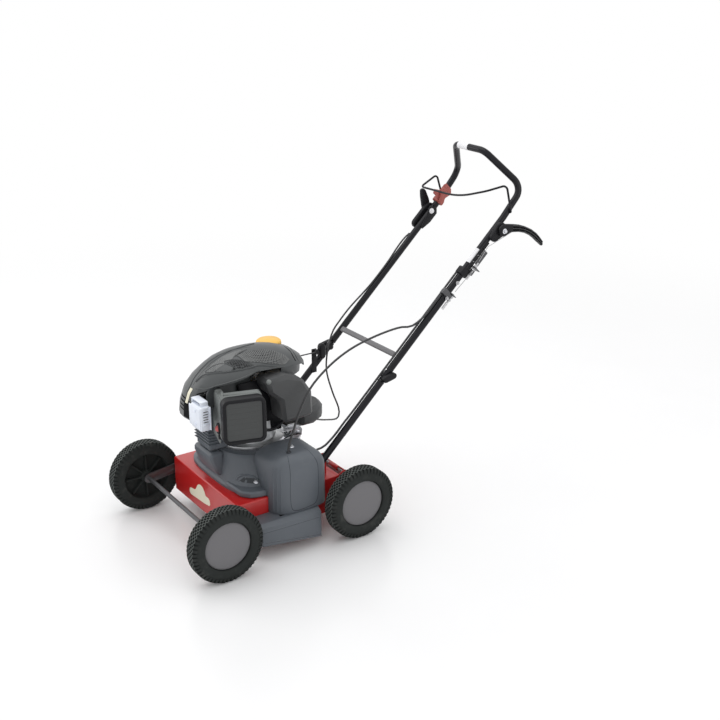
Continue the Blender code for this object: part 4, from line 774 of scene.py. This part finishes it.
filter_place = Matrix.Translation(FILTER_FACE) @ Matrix.Rotation(radians(FILTER_TURN), 4, "Z")
filter_grey = coat("filter_grey", (0.19, 0.205, 0.2), 0.46, grain=1300, relief=5e-5)
filter_panel = coat("filter_panel", (0.044, 0.047, 0.047), 0.44, grain=1300, relief=6e-5)
elbow = slab(FILTER_ELBOW, "Y", -0.0535, -0.05, 0.0012, 2)
filter_base = carried("filter_base")
base_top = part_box("filter_base")[1].z
for vert in filter_base.verts:
    if vert.co.z > base_top - BASE_EDGE:
        vert.co.z -= BASE_DROP
broken(filter_base, 0.0012)
add(filter_base, elbow, filter_place)
finished("filter_base_moulding", filter_base, filter_grey, "root",
         ["filter_base"])
cover = slab(rounded_oblong(*COVER_HALF, COVER_CORNER), "X", -COVER_DEPTH, 0, 0.0035, 3, 60)
face = max(cover.faces, key=lambda face: face.normal.x * face.calc_area())
for thickness, depth in ((0.005, 0.0), (0.002, -0.0034)):
    bmesh.ops.inset_region(cover, faces=[face], thickness=thickness, depth=depth)
face.material_index = 1
for k in range(COVER_RIBS):
    rise = (k - (COVER_RIBS - 1) / 2) * COVER_RIB_STEP
    add(cover, brick((0.0016, 0.086, 0.0018), (-0.0039, 0, rise), 0.0005, 1), finish=1)
add(cover, brick((0.01, 0.007, 0.026), (-0.024, 0.057, 0.02), 0.002))
finished("filter_cover_moulding", moved(cover, filter_place), (black_plastic, filter_panel),
         "root", ["filter_cover"])

primer_joint = Vector((0.09313, -0.4165, 0.343))
primer_way = (-0.2706, -0.9627, 0)
coat("primer_red", (0.5, 0.1, 0.1), 0.35)
packed("primer_dome", "primer_bulb", "primer", "primer_red", 0.0004)
ring = lathe(PRIMER_RING, primer_joint, primer_way, 40)
add(ring, lathe(PRIMER_PLUG, primer_joint + Vector((0.0015, -0.0004, -0.0222)), primer_way, 32))
finished("primer_ring", ring, black_plastic, "root")

# Fuel tank
# A charcoal tank blown in plastic, wrapped round the engine's near rear side, with a small
# round boss at its front corner and a yellow cap that is ribbed for the fingers.
CAP_RIBS = 30
TANK_BOSS = [(0, 0.0052), (0.003, 0.005), (0.0056, 0.0036), (0.0066, 0.001), (0.0068, -0.003)]
tank_charcoal = coat("tank_charcoal", (0.052, 0.054, 0.056), 0.46, grain=800, relief=6e-5)
cap_yellow = coat("cap_yellow", (0.88, 0.52, 0.1), 0.4, cloud=0.05)
tank = carried("fuel_tank", 0.003, 3)
add(tank, lathe(TANK_BOSS, (0.1142, -0.2805, 0.4462), (0.62, -0.64, 0.453), 32), finish=1)
tank_skin = skin_of("fuel_tank", (0.07, -0.2, 0.37))
for corners in (((0.122, -0.27, 0.404), (0.122, -0.165, 0.404)),
                ((0.122, -0.23, 0.335), (0.122, -0.158, 0.335))):
    add(tank, bead(tank_skin, corners, 0.0012, 0.0005, 0.006))
finished("tank_moulding", tank, (tank_charcoal, filter_grey), "root",
         ["fuel_tank"])
cap = carried("fuel_cap", 0.0008)
cap_low, cap_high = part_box("fuel_cap")
cap_middle = (cap_low + cap_high) / 2
grip = brick((0.0022, 0.0024, 0.012), (0.0332, 0, cap_high.z - 0.011), 0.0006, 1)
add(cap, round_set(grip, CAP_RIBS, (0, 0, 1)), Matrix.Translation((cap_middle.x, cap_middle.y, 0)))
finished("tank_cap", cap, cap_yellow, "fuel_cap", ["fuel_cap"])

# Blower housing
# The domed housing over the flywheel, moulded in dark grey plastic. Its top is a fine lattice
# that the fan draws air through, beside a finer band, raised borders and leaf-shaped sinks. The
# holes of the lattice and band, the sinks, the slots and vents and the recess under the front lip
# are painted near-black as their shade, and the lattice's walls a lighter grey as the painted
# sheen on the dome's top. A foot at its rear end fills the gap down to the tank, and the
# starter's rope comes out behind.
LATTICE_WALL = 0.0009
BAND_LEFT = [
    (-0.002, -0.418, 0.45), (0.002, -0.396, 0.474), (0.003, -0.35, 0.4973), (0.002, -0.315, 0.503),
    (0.006, -0.28, 0.503)]
BAND_RIGHT = [
    (0.008, -0.413, 0.454), (0.026, -0.39, 0.47), (0.03, -0.365, 0.483), (0.027, -0.335, 0.494),
    (0.02, -0.315, 0.499)]
LATTICE_INNER = [
    (0.022, -0.322, 0.5), (0.018, -0.275, 0.5025), (0.026, -0.235, 0.4985), (0.046, -0.204, 0.487),
    (0.064, -0.189, 0.472)]
LATTICE_OUTER = [
    (0.05, -0.312, 0.489), (0.0632, -0.2841, 0.4845), (0.0744, -0.2491, 0.4766),
    (0.081, -0.221, 0.4715), (0.079, -0.206, 0.47)]
HOUSING_RIDGE = [
    (-0.0085, -0.4257, 0.44), (0.0025, -0.4102, 0.4571), (0.0257, -0.3956, 0.4664),
    (0.0508, -0.3684, 0.4723), (0.0652, -0.3355, 0.4757), (0.0699, -0.3087, 0.4781),
    (0.0718, -0.2839, 0.4791), (0.0781, -0.2583, 0.475), (0.084, -0.2382, 0.4712)]
HOUSING_SWOOSH = [
    (0.0047, -0.4327, 0.4277), (0.0353, -0.4215, 0.432), (0.0553, -0.4025, 0.4435),
    (0.0709, -0.3745, 0.4515), (0.0823, -0.3403, 0.46), (0.086, -0.3021, 0.4708),
    (0.087, -0.2622, 0.4712), (0.085, -0.228, 0.4695)]
HOUSING_BORDER = [
    (-0.0207, -0.2449, 0.5035), (-0.0169, -0.2743, 0.5035), (-0.0089, -0.3233, 0.5035),
    (-0.0146, -0.3648, 0.4913), (-0.0225, -0.3961, 0.4693), (-0.0264, -0.4186, 0.4465),
    (-0.0241, -0.4369, 0.4223), (-0.0247, -0.4482, 0.3992)]
HOUSING_SHADE_LINE = [
    (-0.0029, -0.2672, 0.5035), (-0.0094, -0.3022, 0.5035), (-0.0025, -0.3505, 0.4973),
    (-0.0063, -0.39, 0.4762), (-0.0111, -0.4147, 0.4524), (-0.0118, -0.4318, 0.4308)]
REAR_SLOTS = ([(0.0027, -0.167, 0.487), (0.028, -0.1673, 0.4838), (0.0505, -0.1686, 0.4742),
               (0.064, -0.1705, 0.464)],
              [(-0.006, -0.153, 0.482), (0.0232, -0.1548, 0.4796), (0.0503, -0.158, 0.4688),
               (0.06, -0.161, 0.46)])
LEAF = ((0.0223, -0.3581, 0.4903), (0.0723, -0.2963, 0.4776), (0.043, -0.319, 0.4915),
        (0.06, -0.338, 0.479))
SINK = ((0.0024, -0.4039, 0.464), (0.0607, -0.3446, 0.4762), (0.024, -0.365, 0.486),
        (0.0434, -0.3762, 0.4723))
FOOT = [
    (0.0848, -0.225), (0.0835, -0.21), (0.0795, -0.195), (0.0772, -0.1885), (0.0708, -0.1725),
    (0.059, -0.1555), (0.04, -0.142), (0.037, -0.1445), (0.0565, -0.158), (0.0682, -0.174),
    (0.0745, -0.1895), (0.0765, -0.195), (0.0805, -0.21), (0.0818, -0.225)]
OPENING_SHADE = (
    (-0.0284, -0.453, 0.396), (0.01, -0.4526, 0.39), (0.01, -0.456, 0.345),
    (-0.0256, -0.4567, 0.345))
STRIP = ((-0.018, -0.437, 0.423), (-0.006, -0.438, 0.423), (-0.01, -0.454, 0.384),
         (-0.022, -0.453, 0.384))


def leaf_place(leaf, u, v):
    """A place in a leaf-shaped sink, from its left tip to its right, and from low to high."""
    left, right, top, low = (Vector(corner) for corner in leaf)
    middle = (left + right) / 2
    lean = (top - middle) * max(0.0, 2 * v - 1) + (low - middle) * max(0.0, 1 - 2 * v)
    return left.lerp(right, u) + lean * (0.08 + 0.92 * sin(pi * u) ** 0.8)


def between_lines(first, last, u, v):
    """A place between two lines of points: u runs along both, v from the first to the last."""
    ends = []
    for line in (first, last):
        at = u * (len(line) - 1)
        k = min(int(at), len(line) - 2)
        ends.append(Vector(line[k]).lerp(Vector(line[k + 1]), at - k))
    return ends[0].lerp(ends[1], v)


def pocketed(sheet, wall, depth, finish=0):
    """Sinks a pocket in each square of a sheet, with walls left between them, and paints the
    pockets with the piece's second finish, a near-black painted shade.
    """
    for face in sheet.faces:
        face.material_index = finish
    cells = sheet.faces[:]
    bmesh.ops.inset_individual(sheet, faces=cells, thickness=wall)
    bmesh.ops.inset_individual(sheet, faces=cells, thickness=0.0002, depth=-depth)
    for face in cells:
        face.material_index = 1
    return sheet


housing_grey = coat("housing_grey", (0.06, 0.065, 0.067), 0.36, grain=1200, relief=6e-5, cloud=0.1)
# Near-black with almost no shine: painted shade for holes, slots, sinks and recesses.
shade_black = coat("shade_black", (0.005, 0.005, 0.006), 0.55, shine=0.05)
# A lighter grey for the lattice's walls: a painted sheen of the dome's lit top.
lattice_sheen_grey = coat("lattice_sheen_grey", (0.15, 0.155, 0.155), 0.4, grain=1500, relief=8e-5)
dome = skin_of("blower_shroud", (-0.025, -0.286, 0.38))
shroud = carried("blower_shroud", 0.0008, limit=50)
lattice = [eased(line, 0.004) for line in (LATTICE_INNER, LATTICE_OUTER)]
# The lattice's holes are pockets in painted shade, and its walls are in the lighter grey of the
# painted sheen.
add(shroud, pocketed(laid(dome, lambda u, v: between_lines(*lattice, u, v),
                          lambda u, v: 0.0012, 30, 9), LATTICE_WALL, 0.001, 2))
add(shroud, pocketed(laid(dome, lambda u, v: between_lines(BAND_LEFT, BAND_RIGHT, u, v),
                          lambda u, v: 0.0004, 40, 9), 0.0013, 0.0003, 2))
for leaf, rows in ((LEAF, 6), (SINK, 1)):
    add(shroud, pocketed(laid(dome, lambda u, v: leaf_place(leaf, u, v), lambda u, v: 0.0008,
                              20, rows), 0.0005, 0.0006))
    rim = [leaf_place(leaf, k / 8, 1.0) for k in range(9)]
    rim += [leaf_place(leaf, 1 - k / 8, 0.0) for k in range(1, 9)]
    add(shroud, bead(dome, rim, 0.0014, 0.0018))
for line, half, height in ((HOUSING_RIDGE, 0.0028, 0.003), (HOUSING_SWOOSH, 0.0024, 0.0022),
                           (HOUSING_BORDER, 0.0024, 0.0022)):
    add(shroud, bead(dome, line, half, height))
# The foot's top follows the dome's lip, and its underside the tank
foot = slab(FOOT, "Z", 0.432, 0.45)
for vert in foot.verts:
    back = -vert.co.y
    if vert.co.z > 0.445:
        vert.co.z = min(0.4485 + 0.25 * (back - 0.136), 0.459 + 0.133 * (back - 0.176))
    elif back > 0.19:
        vert.co.z = 0.441 + 0.354 * (back - 0.1933)
add(shroud, foot)
# Dark lines painted as shade: beside the front border, and inside the two rear slots.
for line, half in ((HOUSING_SHADE_LINE, 0.001), (REAR_SLOTS[0], 0.0026), (REAR_SLOTS[1], 0.0016)):
    add(shroud, bead(dome, line, half, 0.0004), finish=1)
# A dark sheet painted as the shade in the recess under the dome's front lip.
add(shroud, patch(dome, OPENING_SHADE, 0.0003, 8, 10), finish=1)
finished("shroud_moulding", shroud, (housing_grey, shade_black, lattice_sheen_grey), "root",
         ["blower_shroud"], 40)
# Dark bands on the dome's front vents, painted as the shade inside their slits.
vent_shade = bmesh.new()
for k in range(4):
    high = 0.395 - k * 0.01
    add(vent_shade, patch(dome, ((-0.06, -0.448, high), (-0.026, -0.454, high),
                            (-0.026, -0.454, high - 0.004), (-0.06, -0.448, high - 0.004)),
                     0.0006, 6, 2))
finished("vent_slot_shade", vent_shade, shade_black, "root")
strip = patch(dome, STRIP, 0.0006, 6, 12)
finished("housing_strip", strip, label_cream, "root")
finished("rope_eye", carried("rope_guide", 0.0005), black_plastic, "root",
         ["rope_guide"])
packed("starter_handle", "starter_grip", "starter", "black_plastic", 0.001)
packed("starter_cord", "starter_rope", "starter", "cable_black", smooth=60)
packed("oil_cap_moulding", "oil_filler_cap", "oil_cap", "black_plastic", 0.0006)

# Handle
# Steel tubes in gloss black enamel: two lower ones on the deck, and the bent upper one that
# folds about their top ends. White paper labels are wrapped round the grip and the near tube.
TUBE_RADIUS = 0.0096
HANDLE_HALF = 0.1415
HANDLE_ANGLE = radians(43.95)
HANDLE_FOOT = Vector((0, -0.14025, 0.195144))
FOLD_REACH = 0.024
LABEL_RADIUS = TUBE_RADIUS + 0.0002
FOLD_JOINT = Vector((0, 0.06735, 0.39527))
along_tube = Vector((0, cos(HANDLE_ANGLE), sin(HANDLE_ANGLE)))
over_tube = Vector((0, -along_tube.z, along_tube.y))


def tube_place(side, y, lift=0.0, out=0.0):
    """A place at a handle tube: beside its middle line at y, lifted off it, and moved outwards."""
    run = (y - FOLD_JOINT.y) / along_tube.y
    middle = FOLD_JOINT + along_tube * run + over_tube * lift
    return middle + Vector((side * (HANDLE_HALF + out), 0, 0))


def bent(corners, radii, steps=8):
    """A path of straight runs with an arc of the given radius at each inner corner."""
    corners = [Vector(corner) for corner in corners]
    line = [corners[0]]
    for before, corner, after, radius in zip(corners, corners[1:], corners[2:], radii):
        back, on = (before - corner).normalized(), (after - corner).normalized()
        half = back.angle(on) / 2
        centre = corner + (back + on).normalized() * radius / sin(half)
        start = corner + back * radius / tan(half) - centre
        turn = Matrix.Rotation((pi - 2 * half) / steps, 3, back.cross(start))
        for k in range(steps + 1):
            line.append(centre + start)
            start = turn @ start
    return line + [corners[-1]]


def lap_of(node, far_end):
    """A handle tube's flattened end at the fold, cut from its solid."""
    bm = carried(node)
    plane = FOLD_JOINT + along_tube * FOLD_REACH * far_end
    bmesh.ops.bisect_plane(bm, geom=bm.verts[:] + bm.edges[:] + bm.faces[:], dist=1e-6,
                           plane_co=plane, plane_no=along_tube * far_end, clear_outer=True)
    return bm


black_enamel = coat("black_enamel", (0.01, 0.01, 0.013), 0.17, grain=500, relief=2e-5, shine=0.22)
label_white = coat("label_white", (0.8, 0.8, 0.82), 0.45, grain=700, relief=1e-5)
for end, side in (("near", 1), ("far", -1)):
    out = Vector((side * HANDLE_HALF, 0, 0))
    lower = lap_of("lower_tube_" + end, -1)
    add(lower, tube([HANDLE_FOOT + out, FOLD_JOINT - along_tube * (FOLD_REACH - 0.001) + out],
                    TUBE_RADIUS, 32))
    finished("tube_lower_" + end, lower, black_enamel, "root",
             ["lower_tube_" + end], 50)
    knob = "fold_knob_" + end
    packed("knob_" + end, knob, knob, "black_plastic", 0.0006)

upper = lap_of("upper_handle", 1)
near_run = [
    FOLD_JOINT + along_tube * (FOLD_REACH - 0.001) + Vector((HANDLE_HALF, 0, 0)),
    tube_place(1, 0.46425), Vector((HANDLE_HALF, 0.53125, 0.8545)),
    Vector((0.062, 0.45435, 0.9525))]
far_run = [Vector((-corner.x, corner.y, corner.z)) for corner in reversed(near_run)]
add(upper, tube(bent(near_run + far_run, (0.1, 0.04, 0.035, 0.035, 0.04, 0.1)), TUBE_RADIUS, 32))
finished("handle_tube", upper, black_enamel, "handle", ["upper_handle"], 50)
labels = tube([(-0.046, 0.45435, 0.9525), (-0.002, 0.45435, 0.9525)], LABEL_RADIUS, 32)
add(labels, tube([tube_place(1, 0.347), tube_place(1, 0.381)], LABEL_RADIUS, 32))
finished("tube_labels", labels, label_white, "handle")
packed("cross_bar", "crossbar", "handle", "hubcap_grey", 0.0006)

# Controls
# The wire bail with its red lock on the far tube, the throttle and depth levers with their
# moulded cases, and the brackets and screw adjusters of two cables under the near tube.
BAIL_WIRE = 0.003
BAIL_SIDE = 0.1563
BAIL_CORNERS = [
    (BAIL_SIDE - 0.01, 0.47975, 0.79283), (BAIL_SIDE, 0.47975, 0.79283),
    (BAIL_SIDE, 0.45975, 0.872), (0.1, 0.43675, 0.848), (0, 0.41675, 0.816),
    (-BAIL_SIDE, 0.40475, 0.818), (-BAIL_SIDE, 0.46175, 0.847), (-BAIL_SIDE, 0.47975, 0.79283),
    (0.01 - BAIL_SIDE, 0.47975, 0.79283)]
LEVER_HUB = (0.1778, 0.44075, 0.75)
THROTTLE_INNER = [
    (0.4174, 0.7653), (0.4425, 0.755), (0.443, 0.7384), (0.4187, 0.7149), (0.3902, 0.6988),
    (0.3861, 0.706), (0.4021, 0.7305)]
LATCH_INNER = [
    (0.4781, 0.8236), (0.4953, 0.8048), (0.496, 0.7882), (0.4751, 0.78), (0.4672, 0.7684),
    (0.4482, 0.7677), (0.4419, 0.7882), (0.4291, 0.8), (0.4327, 0.8126), (0.4537, 0.8067),
    (0.4697, 0.8214)]
LEVER_TOP = [
    (0.47, 0.7626), (0.4977, 0.7576), (0.5182, 0.7504), (0.5418, 0.7388), (0.5612, 0.7248),
    (0.5757, 0.7106), (0.586, 0.6985)]
LEVER_LOW = [
    (0.47, 0.7435), (0.495, 0.7411), (0.5165, 0.7352), (0.5365, 0.725), (0.5508, 0.7147),
    (0.5635, 0.7037), (0.5745, 0.695)]
LEVER_CELLS = 6
BRACKETS = (
    ((0.024, 0.0022, 0.026), (0.346, -0.016, 0.013), 0.0008, 1),
    ((0.009, 0.018, 0.012), (0.336, -0.015, 0.013), 0.0014, 2),
    ((0.018, 0.0022, 0.022), (0.276, -0.012, 0.008), 0.0008, 1))

latch_red = coat("latch_red", (0.35, 0.085, 0.07), 0.52)
bail = tube(bent(BAIL_CORNERS, (0.0045, 0.01, 0.15, 0.3, 0.01, 0.01, 0.0045), 6), BAIL_WIRE, 12)
finished("bail_wire", bail, black_enamel, "bail", ["bail"], 60)

lever_edges = [[(LEVER_HUB[0], *spot) for spot in line] for line in (LEVER_LOW, LEVER_TOP)]
depth_arm = carried("depth_lever", 0.0006)
# Dark sheets in the lever's sunk cells are painted shade.
for low, high in ((0.14, 0.44), (0.58, 0.88)):
    for k in range(LEVER_CELLS):
        ends = (k / LEVER_CELLS + 0.012, (k + 1) / LEVER_CELLS - 0.012)
        pocket = [between_lines(*lever_edges, u, low)[1:] for u in ends]
        pocket += [between_lines(*lever_edges, u, high)[1:] for u in ends[::-1]]
        add(depth_arm, slab(pocket, "X", LEVER_HUB[0] - 0.0002, LEVER_HUB[0] + 0.0002), finish=1)
for share in (0.06, 0.51, 0.94):
    line = [between_lines(*lever_edges, k / 18, share) for k in range(19)]
    add(depth_arm, tube(line, 0.0009, 8), finish=2)
finished("depth_arm", depth_arm, (black_plastic, shade_black, filter_panel), "depth_lever",
         ["depth_lever"])
packed("latch_clamp", "lock_clamp", "handle", "latch_red", 0.0008)
packed("latch_lever", "lock_lever", "lock_lever", "latch_red", 0.0006)
packed("depth_case", "depth_housing", "handle", "black_plastic", 0.0008)
packed("throttle_case", "throttle_housing", "handle", "black_plastic", 0.0008)
packed("throttle_arm", "throttle_lever", "throttle_lever", "black_plastic", 0.0006)
packed("adjuster_block", "cable_adjuster", "handle", "black_plastic", 0.0006)
packed("clamp_block", "cable_clamp", "handle", "dark_steel", 0.0006)
finished("latch_plate", slab(LATCH_INNER, "X", -0.1312, -0.1284, 0.001, 2), latch_red, "handle")
finished("throttle_inner", slab(THROTTLE_INNER, "X", -0.1315, -0.127, 0.0016, 2), black_plastic,
         "handle")
finished("throttle_pivot", screw((-0.127, 0.4222, 0.749), 0.0052), label_white, "handle")
finished("depth_screw", screw(LEVER_HUB, 0.0048), zinc_plate, "depth_lever")


def adjuster(place, length):
    """A barrel adjuster that lies along the tube: a threaded sleeve, two nuts and a spring."""
    place = Vector(place)
    start, end = place - along_tube * length / 2, place + along_tube * length / 2
    bm = tube([start, end], 0.003, 16)
    for share in (0.3, 0.62):
        add(bm, hexagon(0.0058, 0.0045, 0.0006), facing(start.lerp(end, share), along_tube))
    add(bm, coil(start, start - along_tube * 0.022, 0.0036, 0.0007, 8))
    return bm


gear = adjuster(tube_place(1, 0.346, -0.0135, 0.015), 0.034)
add(gear, adjuster(tube_place(1, 0.268, -0.0135, 0.009), 0.03))
add(gear, tube([(0.179, 0.462, 0.743), tube_place(1, 0.395, -0.002, 0.021),
                tube_place(1, 0.362, -0.012, 0.015)], 0.0009, 8))
add(gear, tube([tube_place(1, 0.33, -0.0135, 0.015), tube_place(1, 0.284, -0.0135, 0.009)],
               0.0009, 8))
for y, out in ((0.3, 0.0112), (0.262, 0.014)):
    add(gear, screw(tube_place(1, y, 0.0, out), 0.0036))
finished("cable_fittings", gear, bare_steel, "handle")
tilt = Matrix.Rotation(HANDLE_ANGLE, 3, "X")
brackets = brick((0.0024, 0.048, 0.015), tube_place(1, 0.3705, -0.015, 0.0118), 0.0008, 1, tilt)
for y in (0.3665, 0.3765):
    add(brackets, screw(tube_place(1, y, -0.011, 0.013), 0.0022))
for size, place, bevel, segments in BRACKETS:
    add(brackets, brick(size, tube_place(1, *place), bevel, segments, tilt))
finished("cable_brackets", brackets, dark_steel, "handle")

# Cables
# Bowden cables in black plastic hose: the clutch's and the depth setting's down the near tube,
# and the throttle's down the far one.
for name, start, end in (("clutch", (0, -0.02, 0.4), (0, 0.22, 0.52)),
                         ("depth", (0, 0.0, 0.35), (0, 0.13, 0.44)),
                         ("throttle", (0, 0.0, 0.35), (0, 0.13, 0.44))):
    cable = finished(name + "_hose", carried(name + "_cable"), cable_black, None,
                     (), 60)
    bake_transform(cable)
    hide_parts(name + "_cable")
